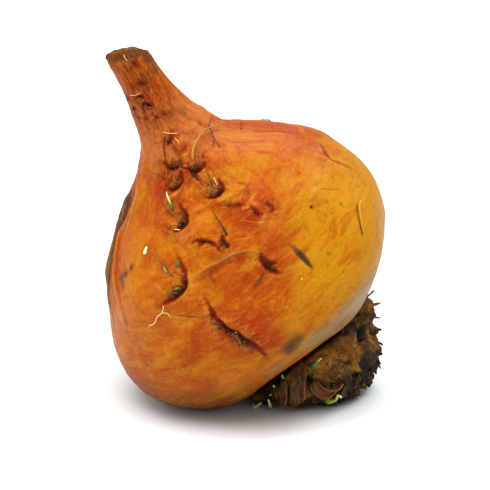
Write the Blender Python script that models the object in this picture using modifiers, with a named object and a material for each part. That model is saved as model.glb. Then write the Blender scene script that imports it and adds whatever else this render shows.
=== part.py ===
"""A golden beetroot that lies tail up, on its lower shoulder and the stump of its leaves.

The root is solid flesh with a snapped taproot, pits where side roots grow, and creases between
them. Under it sits the brown stump of the leaf bases, with withered stalks and green shoots.

Each piece is shaped in the root's own frame, in millimetres: the middle of the root is its
origin, +Z runs up the taproot and -Y is the pitted side. "around" is an angle in degrees from
that pitted side towards +X, and "along" is the height on the axis. The frame is then leaned
over, dropped on the floor with the middle of its box over the origin, and scaled to metres.
"""

import math
import random

import bmesh
import bpy
from mathutils import Matrix, Vector, noise

# Driving sizes, in millimetres and degrees
WIDEST_RADIUS = 43.8
TAIL_TOP = 68.2
CROWN_SEAT = -25.0
LEAN = 36.7
HEADING = 20.8
FLAT_CUT = 0.5
TO_MIDDLE = (0.271, -0.229)
CLEARANCE = 0.3
SLIVER = 0.002
METRES = 0.001

# The root's outline as (along, radius), and how far its middle line wanders towards +X
ROOT_OUTLINE = [
    (CROWN_SEAT, 0.0), (CROWN_SEAT, 9.0), (CROWN_SEAT - 0.3, 17.0), (-24.0, 25.5), (-20.5, 32.0),
    (-12.0, 40.2), (-4.0, WIDEST_RADIUS), (4.0, 43.3), (12.0, 40.1), (19.0, 36.5), (26.0, 29.7),
    (32.0, 22.5), (37.0, 15.6), (42.0, 11.3), (48.0, 8.2), (56.0, 6.5), (63.0, 5.5),
    (67.0, 5.0), (TAIL_TOP, 3.8), (TAIL_TOP - 0.4, 0.0),
]
ROOT_WANDER = [
    (-26.0, -5.0), (-12.0, -2.1), (0.0, -0.4), (12.0, 1.3), (24.0, 1.6), (34.0, 2.6),
    (44.0, 6.3), (56.0, 7.6), (68.0, 9.2),
]
ROOT_MERIDIANS = 72
ROOT_RINGS = 58
CROWDING = 0.32
BREAK_SLANT = 0.62
BREAK_FROM = 60.0

# The shoulder is drawn up over the stump on the pitted side
RAISED_MIDDLE = -10.0
RAISED_REACH = 62.0
RAISED_HEIGHT = 3.8

# Slow swellings: waves round the root, degrees of a crest, height, middle along, reach along
SWELLINGS = [
    (2, 20, 0.5, 0, 30),
    (3, -50, 0.7, 10, 24),
    (5, 15, 0.4, 18, 16),
    (4, 100, 0.6, -12, 20),
    (9, 35, 0.3, 38, 13),
]
UNEVENNESS = [(26.0, 0.7), (11.0, 0.35)]

# Pits where side roots grow: around, along, radius, depth
PITS = [
    (-24, 45.5, 2.4, 1.1), (-26, 40.0, 2.8, 1.5), (-2, 37.3, 3.0, 1.5), (-31, 36.0, 3.0, 1.6),
    (-3, 31.6, 3.6, 2.2), (-29, 30.4, 3.6, 2.2), (-14, 22.6, 3.6, 2.0), (6, 24.4, 3.2, 1.5),
    (13, 22.2, 2.2, 0.9), (-37, 20.6, 4.6, 3.0), (-4, 13.6, 3.8, 2.3), (-24, 17.4, 2.2, 0.8),
    (-84, 58.8, 1.8, 0.6), (-69, 55.8, 1.8, 0.7), (-40, 62.0, 1.8, 0.5),
    (172, 44.0, 2.6, 1.2), (196, 39.0, 2.8, 1.4), (160, 36.0, 3.0, 1.5), (186, 30.0, 3.6, 2.0),
    (150, 27.0, 3.0, 1.4), (205, 24.0, 3.6, 1.8), (170, 19.0, 4.4, 2.4), (193, 12.0, 3.6, 1.7),
    (155, 9.0, 3.4, 1.5), (-120, 10.0, 2.8, 0.8), (96, 28.0, 2.6, 0.8),
]
LIP_SHARE = 0.22

# Folds of the skin: height (below zero for a groove), half width, and the line as (around, along)
FOLDS = [
    (-2.6, 3.0, [(-31, 13.0), (-29, 9.0), (-26, 6.0), (-23, 2.0), (-20, -3.0)]),
    (-1.0, 2.2, [(-39, 33.4), (-22, 32.6), (-9, 31.4), (3, 30.5), (14, 30.4), (25, 30.7)]),
    (0.9, 2.2, [(-32, 20.6), (-25, 20.3), (-16, 19.6), (-8, 18.3), (-4, 16.2), (-2, 13.8)]),
    (-0.9, 2.2, [(-30, 18.2), (-22, 17.6), (-14, 16.8), (-9, 15.4)]),
    (-0.9, 1.9, [(-30, 23.6), (-22, 24.6), (-15, 22.6)]),
    (-0.8, 1.9, [(-8, 27.4), (1, 26.9), (5, 25.0), (10, 22.6)]),
    (-0.8, 2.2, [(66, 20.0), (56, 18.5), (54, 13.8), (57, 10.0)]),
    (-0.7, 1.8, [(8, 13.3), (7, 9.0), (8, 4.5)]),
    (-1.6, 4.5, [(-97, 39.0), (-97, 35.0), (-103, 31.0), (-107, 26.0), (-109, 20.0), (-112, 12.0)]),
    (0.8, 2.2, [(-100, 35.0), (-99, 32.0), (-95, 27.0), (-87, 21.4), (-78, 16.7), (-74, 6.0)]),
    (-1.0, 2.4, [(140, 32.0), (165, 30.5), (185, 29.0), (210, 30.0)]),
    (-2.2, 3.2, [(160, 16.0), (170, 12.0), (180, 6.0), (186, 0.0)]),
    (0.8, 2.4, [(150, 20.0), (175, 21.5), (200, 18.0), (208, 13.0)]),
]

# Thicker side roots: thickness at the foot, then (around, along, lift off the skin)
SIDE_ROOTS = [
    (1.0, [(-1, 37.2, -1.6), (-1, 38.4, 1.2), (5, 39.8, 1.9), (17, 40.9, 1.9), (31, 41.0, 1.5),
           (44, 40.3, 0.9)]),
    (0.9, [(26, 36.2, -1.4), (32, 38.6, 0.9), (40, 40.4, 1.3), (48, 41.8, 1.8)]),
    (0.8, [(19, 38.6, -1.4), (25, 39.6, 0.8), (36, 40.6, 1.5)]),
    (0.8, [(-24, 45.2, -1.6), (-26, 47.2, 1.0), (-15, 46.5, 1.4), (-6, 45.2, 1.6)]),
    (0.8, [(-26, 44.8, -1.6), (-33, 43.0, 0.9), (-34, 41.0, 0.9), (-29, 39.4, 1.0)]),
    (0.8, [(-31, 36.2, -1.6), (-43, 38.2, 1.0), (-57, 40.0, 1.4)]),
    (0.8, [(-30, 36.2, -1.6), (-22, 37.8, 0.9), (-14, 38.8, 1.2)]),
    (0.8, [(-3, 31.8, -1.8), (-6, 33.8, 1.0), (-7, 35.8, 1.2)]),
    (0.8, [(-1, 31.8, -1.8), (5, 33.4, 1.0), (8, 35.0, 1.5)]),
    (1.0, [(-29, 30.8, -1.8), (-32, 32.6, 1.1), (-34, 34.4, 1.8), (-35, 35.8, 2.4)]),
    (0.8, [(-30, 30.6, -1.8), (-38, 32.6, 0.9), (-41, 34.6, 1.2)]),
    (0.9, [(-14, 22.8, -1.8), (-13, 25.2, 1.2), (-10, 28.2, 1.8)]),
    (0.8, [(-13, 22.6, -1.8), (-8, 24.6, 0.9), (-7, 26.6, 1.2)]),
    (0.8, [(6, 24.6, -1.6), (3, 27.2, 0.9), (2, 29.6, 1.2)]),
    (0.8, [(-38, 21.4, -2.4), (-44, 24.4, 1.0), (-50, 26.6, 1.5)]),
    (0.8, [(-5, 13.4, -1.8), (-8, 11.6, 0.9), (-12, 9.8, 1.5)]),
    (0.8, [(-28, 9.0, -2.4), (-35, 10.4, 0.9), (-43, 11.2, 1.3)]),
    (0.8, [(-25, 4.0, -2.4), (-31, 3.4, 0.9), (-39, 4.4, 1.2)]),
    (0.8, [(-46, 14.2, -1.4), (-49, 16.0, 0.8), (-53, 14.4, 0.9), (-58, 13.2, 1.1)]),
    (0.9, [(33, 1.0, -1.4), (36, 3.4, 1.0), (41, 6.2, 1.6)]),
    (2.4, [(-104, 22.5, -1.0), (-106, 20.0, 0.4), (-107, 16.5, 0.3), (-106, 14.0, -1.0)]),
]
BACK_PITS = range(15, 24)
BACK_SEED = 5
BACK_ROOT_LENGTH = (5.0, 9.0)

# The stump of leaf bases: middle line at the seat and its lean, then (reach, radius)
STUMP_MIDDLE = (-2.2, -3.4)
STUMP_LEAN = (0.12, -0.12)
STUMP_LENGTH = 22.5
STUMP_OUTLINE = [
    (0.0, 0.0), (0.0, 10.0), (0.2, 18.5), (2.5, 21.2), (8.0, 19.6), (13.0, 16.9), (17.5, 13.4),
    (21.0, 9.6), (STUMP_LENGTH, 6.4), (21.4, 3.0), (20.6, 0.0),
]
STUMP_MERIDIANS = 52
STUMP_RINGS = 28
LEAF_BASES = 11
RIB_HEIGHT = 1.1
SCALE_LENGTH = 5.2
SCALE_HEIGHT = 1.7
LUMPS = [(6.5, 1.3), (2.8, 0.7)]
STUMP_PITS = [
    (34, 4.5, 3.6, 2.6), (4, 9.0, 3.0, 1.4), (-66, 10.0, 3.2, 1.8), (110, 9.0, 3.6, 2.0),
    (165, 14.0, 3.4, 1.8), (222, 7.0, 3.8, 2.2), (270, 15.0, 3.2, 1.6),
    (68, 2.4, 6.0, -3.2), (20, 20.8, 10.0, 3.4),
]

# How the stump is pressed on the floor: the height where it begins, and the lumps of its underside
STUMP_GIVE = 3.0
PRESSED_LUMP = 1.0
PRESSED_LUMP_SIZE = 4.5

# Torn tongues of leaf base: around, reach, length, width, and how far the tip turns to the side
TONGUES = [
    (72, 2.6, 5.0, 3.4, 30), (62, 3.4, 4.6, 3.2, -10), (52, 5.4, 4.2, 3.0, 40), (45, 8.6, 4.0, 3.6, 0),
    (38, 11.0, 4.4, 3.4, -30), (30, 14.4, 3.6, 3.2, 20), (22, 17.4, 4.0, 3.4, 0), (14, 20.0, 4.6, 3.0, 30),
    (6, 21.4, 3.8, 3.0, -20), (-8, 20.0, 3.4, 3.2, 10), (84, 7.0, 4.6, 3.8, 20), (88, 13.0, 4.2, 3.8, -20),
]
TONGUE_SEED = 12
MORE_TONGUES = 26
TONGUE_SINK = 1.4

# Withered stalks laid over the stump: width, curl of the edges, then (around, reach, lift)
STALK_THICKNESS = 0.7
STALKS = [
    (4.6, 0.5, [(-19, 1.3, 1.1), (-23, 2.3, 1.3), (-27, 3.1, 1.4), (-31, 4.1, 1.5), (-35, 5.3, 1.4)]),
    (2.2, 0.4, [(-37, 1.4, 1.2), (-41, 2.6, 1.4), (-46, 4.0, 1.8), (-50, 5.4, 2.0)]),
    (3.8, 1.2, [(-18, 4.4, 1.9), (-19, 5.6, 2.3), (-17, 6.9, 2.5), (-12, 7.9, 2.4), (-7, 8.3, 2.1)]),
]

# Green shoots: (around, reach, lift, radius) from the sunk foot to the tip
SHOOTS = [
    [(-12, 2.2, -1.4, 0.7), (-11, 2.1, 1.3, 1.1), (-8, 1.9, 2.3, 0.9), (-3, 1.8, 2.9, 0.4)],
    [(-59, 4.6, -1.4, 0.6), (-58, 4.4, 1.3, 0.9), (-56, 3.6, 2.2, 0.8), (-53, 2.8, 2.7, 0.4)],
    [(-24, 11.2, -1.4, 0.7), (-23, 11.3, 1.5, 1.1), (-18, 11.2, 2.8, 0.6), (-14, 10.6, 3.3, 0.5),
     (-11, 9.8, 3.5, 0.4)],
    [(-72, 3.1, -1.4, 0.6), (-71, 2.9, 1.2, 0.9), (-68, 2.7, 2.0, 0.6), (-63, 2.4, 2.5, 0.4)],
]


def smooth_step(low, high, value):
    """0 at low, 1 at high and an even rise between them."""
    share = min(max((value - low) / (high - low), 0.0), 1.0)
    return share * share * (3.0 - 2.0 * share)


def turned_by(first, second):
    """The angle between two directions round the axis, in degrees."""
    return abs((first - second + 180.0) % 360.0 - 180.0)


def between(table, where):
    """Reads a value from (place, value) rows, joined by straight lines."""
    if where <= table[0][0]:
        return table[0][1]
    for (low, first), (high, last) in zip(table, table[1:]):
        if where <= high:
            return first + (last - first) * (where - low) / (high - low)
    return table[-1][1]


def curve_through(points, steps=16):
    """Points closely spaced on a smooth curve through the given ones."""
    ends = [[2 * a - b for a, b in zip(points[0], points[1])]]
    ends += [list(point) for point in points]
    ends += [[2 * a - b for a, b in zip(points[-1], points[-2])]]
    curve = []
    for before, start, stop, after in zip(ends, ends[1:], ends[2:], ends[3:]):
        for step in range(steps):
            t = step / steps
            curve.append(tuple(
                0.5 * (2 * q + (r - p) * t + (2 * p - 5 * q + 4 * r - s) * t ** 2
                       + (3 * q - p - 3 * r + s) * t ** 3)
                for p, q, r, s in zip(before, start, stop, after)
            ))
    curve.append(tuple(points[-1]))
    return curve


def evenly(curve, count):
    """The curve again, as count + 1 points at even spacing along it."""
    reach = [0.0]
    for first, second in zip(curve, curve[1:]):
        reach.append(reach[-1] + math.dist(first, second))
    spread = []
    index = 0
    for step in range(count + 1):
        target = reach[-1] * step / count
        while index < len(curve) - 2 and reach[index + 1] < target:
            index += 1
        share = (target - reach[index]) / (reach[index + 1] - reach[index])
        spread.append(tuple(a + (b - a) * share for a, b in zip(curve[index], curve[index + 1])))
    return spread


def outward(around):
    """The unit vector that points out of the axis at this angle."""
    angle = math.radians(around)
    return Vector((math.sin(angle), -math.cos(angle), 0.0))


def raised(around):
    """How far the shoulder is drawn up at this angle."""
    return RAISED_HEIGHT * smooth_step(RAISED_REACH, 0.0, turned_by(around, RAISED_MIDDLE))


def root_spot(around, along, radius):
    """A point of the root before its pits, folds and unevenness."""
    swell = sum(
        height * smooth_step(reach, 0.0, abs(along - middle))
        * math.cos(waves * math.radians(around - crest))
        for waves, crest, height, middle, reach in SWELLINGS
    )
    radius += swell * smooth_step(0.0, 20.0, radius) if along < 0.0 else swell
    radius = max(radius, 0.0)
    side = outward(around) * radius
    lift = raised(around) * smooth_step(12.0, 19.0, radius) * smooth_step(-6.0, -20.0, along)
    slant = BREAK_SLANT * side.x * smooth_step(BREAK_FROM, TAIL_TOP, along)
    return side + Vector((between(ROOT_WANDER, along), 0.0, along + lift - slant))


def root_at(around, along):
    """The point of the root's side at this height."""
    side = [row for row in ROOT_OUTLINE if -21.0 < row[0] < TAIL_TOP - 0.1]
    return root_spot(around, along, between(curve_through(side), along))


def stump_spot(around, reach, radius):
    """A point of the stump before its ribs and lumps."""
    lift = raised(around) * smooth_step(14.0, 21.0, radius) * smooth_step(9.0, 1.0, reach)
    middle = Vector((
        STUMP_MIDDLE[0] + STUMP_LEAN[0] * reach,
        STUMP_MIDDLE[1] + STUMP_LEAN[1] * reach,
        CROWN_SEAT - 3.0 * CLEARANCE - reach + lift,
    ))
    return middle + outward(around) * radius


def stump_at(around, reach):
    """The point of the stump's side at this reach, with its ribs and lumps, and the way out of it."""
    side = STUMP_OUTLINE[1:9]
    base = stump_spot(around, reach, between(curve_through(side), reach))
    slope = stump_spot(around, reach + 1.0, between(curve_through(side), reach + 1.0)) - base
    out = outward(around)
    out = (out - slope * out.dot(slope) / slope.length_squared).normalized()
    return base + out * stump_relief(base, around, reach), out


def turned(name, outline, spot, meridians, rings, crowding=0.0):
    """A sphere whose rings are moved out to an outline, so it starts and stays one closed body.

    It returns the mesh, and (around, along) of each of its points.
    """
    shape = bmesh.new()
    bmesh.ops.create_uvsphere(shape, u_segments=meridians, v_segments=rings, radius=1.0)
    steps = evenly(curve_through(outline), rings)
    places = []
    for vertex in shape.verts:
        latitude = math.acos(max(-1.0, min(1.0, -vertex.co.z)))
        ring = round(latitude / math.pi * rings)
        along, radius = steps[ring]
        angle = math.atan2(vertex.co.x, -vertex.co.y)
        around = math.degrees(angle - crowding * math.sin(angle))
        vertex.co = spot(around, along, radius if 0 < ring < rings else 0.0)
        places.append((around, along))
    bmesh.ops.recalc_face_normals(shape, faces=shape.faces)
    mesh = bpy.data.meshes.new(name)
    shape.to_mesh(mesh)
    shape.free()
    return mesh, places


def dent(distance, radius):
    """1 in the middle of a pit and 0 from its edge on."""
    return smooth_step(radius, 0.0, distance)


def root_features():
    """The places of the pits, and of the folds as closely spaced points."""
    pits = [(root_at(around, along), radius, depth) for around, along, radius, depth in PITS]
    folds = [
        (height, width, [root_at(*place) for place in evenly(curve_through(line), 24)])
        for height, width, line in FOLDS
    ]
    return pits, folds


def root_relief(point, pits, folds):
    """How far the skin stands proud of the smooth root here."""
    relief = sum(height * noise.noise(point / size) for size, height in UNEVENNESS)
    for middle, radius, depth in pits:
        distance = (point - middle).length
        if distance < 2.2 * radius:
            lip = dent(abs(distance - 1.3 * radius), 0.9 * radius)
            below = 0.5 + 0.5 * max(-1.0, min(1.0, (middle.z - point.z) / radius))
            relief += LIP_SHARE * depth * lip * below - depth * dent(distance, radius)
    for height, width, line in folds:
        distance, nearest = min(((point - spot).length, index) for index, spot in enumerate(line))
        if distance < width:
            share = nearest / (len(line) - 1)
            relief += height * dent(distance, width) * (1.0 - abs(2.0 * share - 1.0) ** 3)
    return relief


def stump_relief(point, around, reach):
    """How far a rib or a lump of the stump stands proud here."""
    turn = LEAF_BASES * math.radians(around + 3.0 * math.sin(0.4 * reach))
    scale = (reach + 1.5 * math.sin(1.3 * turn)) / SCALE_LENGTH % 1.0
    relief = RIB_HEIGHT * (abs(math.cos(0.5 * turn)) - 0.5) + SCALE_HEIGHT * (scale - 0.5)
    relief += sum(height * noise.noise(point / size) for size, height in LUMPS)
    for pit_around, pit_reach, radius, depth in STUMP_PITS:
        aside = math.radians(turned_by(around, pit_around)) * 20.0
        relief -= depth * dent(math.hypot(aside, reach - pit_reach), radius)
    return relief * smooth_step(0.2, 3.0, reach)


def tube(name, points, radii, collection, sides=0):
    """A tapered round thread or shoot: a curve with a bevel and filled caps."""
    curve = bpy.data.curves.new(name, "CURVE")
    curve.dimensions = "3D"
    curve.bevel_depth = 1.0
    curve.bevel_resolution = sides
    curve.use_fill_caps = True
    spline = curve.splines.new("POLY")
    spline.points.add(len(points) - 1)
    for spot, point, radius in zip(spline.points, points, radii):
        spot.co = (*point, 1.0)
        spot.radius = radius * METRES
    made = bpy.data.objects.new(name, curve)
    collection.objects.link(made)
    return made


def as_mesh(curve):
    """The curve object made a mesh object, with its caps welded on."""
    graph = bpy.context.evaluated_depsgraph_get()
    mesh = bpy.data.meshes.new_from_object(curve.evaluated_get(graph))
    shape = bmesh.new()
    shape.from_mesh(mesh)
    bmesh.ops.remove_doubles(shape, verts=shape.verts, dist=0.00001)
    bmesh.ops.recalc_face_normals(shape, faces=shape.faces)
    shape.to_mesh(mesh)
    shape.free()
    collection = curve.users_collection[0]
    name = curve.name
    bpy.data.objects.remove(curve, do_unlink=True)
    made = bpy.data.objects.new(name, mesh)
    collection.objects.link(made)
    return made


def drop_crumbs(mesh):
    """Closes the hairline slivers that a Boolean leaves, and keeps only the largest body."""
    shape = bmesh.new()
    shape.from_mesh(mesh)
    bmesh.ops.remove_doubles(shape, verts=shape.verts, dist=SLIVER * METRES)
    bmesh.ops.dissolve_degenerate(shape, edges=shape.edges, dist=SLIVER * METRES)
    unseen = set(shape.verts)
    bodies = []
    while unseen:
        body = set()
        front = [next(iter(unseen))]
        while front:
            vertex = front.pop()
            if vertex not in body:
                body.add(vertex)
                front.extend(edge.other_vert(vertex) for edge in vertex.link_edges)
        unseen -= body
        bodies.append(body)
    largest = max(bodies, key=len)
    crumbs = [vertex for vertex in shape.verts if vertex not in largest]
    bmesh.ops.delete(shape, geom=crumbs, context="VERTS")
    shape.to_mesh(mesh)
    shape.free()


def combined(body, others, operation):
    """Applies one Boolean of a whole collection to the body, then removes the collection.

    The exact solver now and then loses the crumpled stump, so this is the manifold one.
    """
    modifier = body.modifiers.new("fuse", "BOOLEAN")
    modifier.operation = operation
    modifier.operand_type = "COLLECTION"
    modifier.collection = others
    modifier.solver = "MANIFOLD"
    graph = bpy.context.evaluated_depsgraph_get()
    mesh = bpy.data.meshes.new_from_object(body.evaluated_get(graph))
    body.modifiers.remove(modifier)
    drop_crumbs(mesh)
    body.data = mesh
    for other in list(others.objects):
        bpy.data.objects.remove(other, do_unlink=True)
    bpy.data.collections.remove(others)


def helper_collection(name):
    made = bpy.data.collections.new(name)
    bpy.context.scene.collection.children.link(made)
    return made


def side_root_lines():
    """The side roots' middle lines: those of the pitted side, and seeded ones on the far side."""
    for thickness, line in SIDE_ROOTS:
        yield thickness, line
    draw = random.Random(BACK_SEED)
    for around, along, radius, depth in (PITS[index] for index in BACK_PITS):
        for side in (-1, 1):
            length = draw.uniform(*BACK_ROOT_LENGTH)
            turn = math.radians(draw.uniform(15, 60)) * side
            reach = math.degrees(length * math.sin(turn) / root_at(around, along).xy.length)
            rise = length * math.cos(turn)
            line = [
                (around, along, -depth), (around + 0.5 * reach, along + 0.5 * rise, 0.9),
                (around + reach, along + rise, draw.uniform(0.9, 1.8)),
            ]
            yield 0.8, line


def grow_side_roots(body, pits, folds, place):
    """Fuses the side roots to the root, each with its foot sunk well in."""
    threads = helper_collection("side_roots")
    for index, (thickness, line) in enumerate(side_root_lines()):
        points = []
        for around, along, lift in curve_through(line, 2):
            base = root_at(around, along)
            points.append(base + outward(around) * (lift + root_relief(base, pits, folds)))
        radii = [0.5 * thickness * (1.0 - 0.35 * step / len(points)) for step in range(len(points))]
        as_mesh(tube(f"side_root_{index}", [place @ point for point in points], radii, threads))
    combined(body, threads, "UNION")


def tongue_rows():
    """The torn tongues seen from the front, then seeded ones round the rest of the stump."""
    yield from TONGUES
    draw = random.Random(TONGUE_SEED)
    for step in range(MORE_TONGUES):
        around = 100.0 + 190.0 * (step + draw.random()) / MORE_TONGUES
        reach = draw.choice((3.0, 8.0, 13.0, 18.0, 21.0)) + draw.uniform(-1.2, 1.2)
        yield around, reach, draw.uniform(3.6, 6.0), draw.uniform(3.0, 4.6), draw.uniform(-40, 40)


def grow_tongues(body, place):
    """Fuses flat five-sided cones to the stump as its torn leaf bases."""
    torn = helper_collection("tongues")
    for index, (around, reach, length, width, turn) in enumerate(tongue_rows()):
        foot, out = stump_at(around, reach)
        down = Vector((0.0, 0.0, -1.0))
        across = out.cross(down).normalized()
        aim = (out + 0.5 * down + math.sin(math.radians(turn)) * across).normalized()
        thin = aim.cross(across).normalized()
        flat = thin.cross(aim).normalized()
        turned_in = Matrix((flat, thin, aim)).transposed().to_4x4()
        middle = foot + aim * (0.5 * length - TONGUE_SINK)
        if (place @ (foot + aim * length)).z < 0.001:
            continue
        shape = bmesh.new()
        bmesh.ops.create_cone(
            shape, cap_ends=True, segments=5, radius1=0.5 * width, radius2=0.6, depth=length,
            matrix=Matrix.Translation(middle) @ turned_in @ Matrix.Diagonal((1.0, 0.55, 1.0, 1.0)),
        )
        shape.transform(place)
        bmesh.ops.recalc_face_normals(shape, faces=shape.faces)
        mesh = bpy.data.meshes.new(f"tongue_{index}")
        shape.to_mesh(mesh)
        shape.free()
        torn.objects.link(bpy.data.objects.new(mesh.name, mesh))
    combined(body, torn, "UNION")


def lay_stalk(name, width, curl, line, collection, place):
    """A withered stalk: a thin strip laid just clear of the stump, with its edges curled up."""
    shape = bmesh.new()
    across, lengths = 4, 10
    bmesh.ops.create_grid(shape, x_segments=across, y_segments=lengths, size=1.0)
    rows = evenly(curve_through(line), lengths)
    for vertex in shape.verts:
        side = vertex.co.x
        step = (vertex.co.y + 1.0) / 2.0
        around, reach, lift = rows[round(step * lengths)]
        taper = width * (0.55 + 0.45 * math.sin(math.pi * min(1.0, 0.25 + 0.6 * step)))
        base, out = stump_at(around, reach)
        sideways = out.cross(Vector((0.0, 0.0, -1.0))).normalized()
        vertex.co = place @ (base + sideways * (0.5 * taper * side) + out * (lift + curl * side * side))
        vertex.co.z = max(vertex.co.z, (0.5 * STALK_THICKNESS + CLEARANCE) * METRES)
    mesh = bpy.data.meshes.new(name)
    shape.to_mesh(mesh)
    shape.free()
    made = bpy.data.objects.new(name, mesh)
    collection.objects.link(made)
    thick = made.modifiers.new("thick", "SOLIDIFY")
    thick.thickness = STALK_THICKNESS * METRES
    thick.offset = 0.0
    return made


def stand_shoots(stump, parts, place, green):
    """Stands each green shoot in a plain hole of the stump, a clearance wider than the shoot."""
    holes = helper_collection("shoot_holes")
    for index, line in enumerate(SHOOTS, 1):
        rows = curve_through(line, 2)
        points = []
        for around, reach, lift, radius in rows:
            base, out = stump_at(around, reach)
            point = place @ (base + out * lift)
            point.z = max(point.z, (radius + CLEARANCE) * METRES)
            points.append(point)
        shoot = tube(f"shoot_{index}", points, [row[3] for row in rows], parts, 1)
        shoot.data.materials.append(green)
        aim = (points[2] - points[0]).normalized() * METRES
        ends = [points[0] - aim * CLEARANCE, points[2] + aim]
        wide = [max(row[3] for row in rows) + CLEARANCE] * 2
        as_mesh(tube(f"hole_{index}", ends, wide, holes, 2))
    combined(stump, holes, "DIFFERENCE")


def material(name, colour, roughness):
    """A plain Principled material."""
    made = bpy.data.materials.new(name)
    made.use_nodes = True
    shader = made.node_tree.nodes["Principled BSDF"]
    shader.inputs["Base Color"].default_value = (*colour, 1.0)
    shader.inputs["Roughness"].default_value = roughness
    shader.inputs["Metallic"].default_value = 0.0
    return made


def lying(root):
    """The move from the root's own frame to the floor, in metres, with the lowest part let in."""
    turn = Matrix.Rotation(math.radians(HEADING), 4, "Z") @ Matrix.Rotation(-math.radians(LEAN), 4, "Y")
    lowest = min((turn @ vertex.co).z for vertex in root.vertices)
    drop = Matrix.Translation((*TO_MIDDLE, -lowest - FLAT_CUT))
    return Matrix.Scale(METRES, 4) @ drop @ turn


def set_down(mesh, place, give=0.0):
    """Takes a mesh to the floor and flattens what would go through it.

    A piece that gives is pressed out softly below that height, and touches only with its lumps.
    """
    for vertex in mesh.vertices:
        own = vertex.co.copy()
        vertex.co = place @ own
        height = vertex.co.z / METRES
        if give and height < give:
            lump = noise.noise(own / PRESSED_LUMP_SIZE)
            height = give * math.exp(height / give - 1.0) + PRESSED_LUMP * lump
        vertex.co.z = max(height, 0.0) * METRES


def main():
    for old in list(bpy.data.objects):
        bpy.data.objects.remove(old, do_unlink=True)
    parts = helper_collection("golden_beetroot")
    skin = material("beet_skin", (0.62, 0.22, 0.03), 0.45)
    brown = material("dead_leaf_base", (0.10, 0.05, 0.02), 0.8)
    papery = material("withered_stalk", (0.16, 0.07, 0.03), 0.7)
    green = material("shoot_green", (0.35, 0.45, 0.12), 0.5)

    pits, folds = root_features()
    root_mesh, places = turned("root", ROOT_OUTLINE, root_spot, ROOT_MERIDIANS, ROOT_RINGS, CROWDING)
    place = lying(root_mesh)
    normals = [vertex.normal.copy() for vertex in root_mesh.vertices]
    for vertex, normal, (around, along) in zip(root_mesh.vertices, normals, places):
        if along > CROWN_SEAT + 2.0:
            vertex.co += normal * root_relief(vertex.co, pits, folds)
    set_down(root_mesh, place)
    root = bpy.data.objects.new("root", root_mesh)
    parts.objects.link(root)
    grow_side_roots(root, pits, folds, place)

    stump_mesh, places = turned("leaf_crown", STUMP_OUTLINE, stump_spot, STUMP_MERIDIANS, STUMP_RINGS)
    normals = [vertex.normal.copy() for vertex in stump_mesh.vertices]
    for vertex, normal, (around, reach) in zip(stump_mesh.vertices, normals, places):
        vertex.co += normal * stump_relief(vertex.co, around, reach)
    set_down(stump_mesh, place, STUMP_GIVE)
    stump = bpy.data.objects.new("leaf_crown", stump_mesh)
    parts.objects.link(stump)
    grow_tongues(stump, place)
    stand_shoots(stump, parts, place, green)

    for index, (width, curl, line) in enumerate(STALKS, 1):
        stalk = lay_stalk(f"withered_stalk_{index}", width, curl, line, parts, place)
        stalk.data.materials.append(papery)
        stalk.data.shade_smooth()
    for body, finish in ((root, skin), (stump, brown)):
        body.data.materials.clear()
        body.data.materials.append(finish)
        body.data.shade_smooth()


main()
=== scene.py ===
# A golden beetroot lying tail up: moist skin, thread roots, dead leaf crown, dry stalks and sprouts.
# Shapes are worked out in the root's own frame, in millimetres, and then laid on the table.

import math
import random

import bmesh
import bpy
import numpy as np
from mathutils import Matrix, Vector, noise


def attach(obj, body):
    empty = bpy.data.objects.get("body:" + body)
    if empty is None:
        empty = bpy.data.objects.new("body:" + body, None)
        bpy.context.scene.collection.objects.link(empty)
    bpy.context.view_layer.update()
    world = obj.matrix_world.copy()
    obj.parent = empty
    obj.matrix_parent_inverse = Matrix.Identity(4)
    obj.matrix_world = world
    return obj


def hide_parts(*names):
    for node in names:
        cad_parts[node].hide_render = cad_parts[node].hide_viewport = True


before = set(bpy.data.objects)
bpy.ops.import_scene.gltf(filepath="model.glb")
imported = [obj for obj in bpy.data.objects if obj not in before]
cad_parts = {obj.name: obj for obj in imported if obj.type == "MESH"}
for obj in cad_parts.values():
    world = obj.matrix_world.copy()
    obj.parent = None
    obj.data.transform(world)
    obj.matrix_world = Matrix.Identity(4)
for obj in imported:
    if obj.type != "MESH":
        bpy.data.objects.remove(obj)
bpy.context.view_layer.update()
print("packed solids loaded")

mm = 0.001


# Small helpers

def linearColour(hexColour):
    # sRGB hex to the linear values that shaders want
    values = [int(hexColour[i:i + 2], 16) / 255 for i in (1, 3, 5)]
    return [v / 12.92 if v <= 0.04045 else ((v + 0.055) / 1.055) ** 2.4 for v in values] + [1.0]


def smoothStep(low, high, value):
    share = np.clip((value - low) / (high - low), 0.0, 1.0)
    return share * share * (3.0 - 2.0 * share)


def turnedBy(first, second):
    return np.abs((first - second + 180.0) % 360.0 - 180.0)


def unit(vectors):
    return vectors / np.maximum(np.linalg.norm(vectors, axis=-1, keepdims=True), 1e-9)


def lumps(points, size, shift=0.0, stretch=(1, 1, 1)):
    # one octave of smooth noise, -1 to 1, with features of about this many millimetres
    return np.array([noise.noise(place) for place in (points * np.array(stretch) / size + shift).tolist()])


def curveThrough(rows, steps=16):
    rows = np.array(rows, float)
    rows = np.vstack([2 * rows[0] - rows[1], rows, 2 * rows[-1] - rows[-2]])
    curve = []
    for p, q, r, s in zip(rows, rows[1:], rows[2:], rows[3:]):
        for step in range(steps):
            t = step / steps
            curve.append(0.5 * (2 * q + (r - p) * t + (2 * p - 5 * q + 4 * r - s) * t ** 2
                                + (3 * q - p - 3 * r + s) * t ** 3))
    curve.append(rows[-2])
    return np.array(curve)


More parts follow.
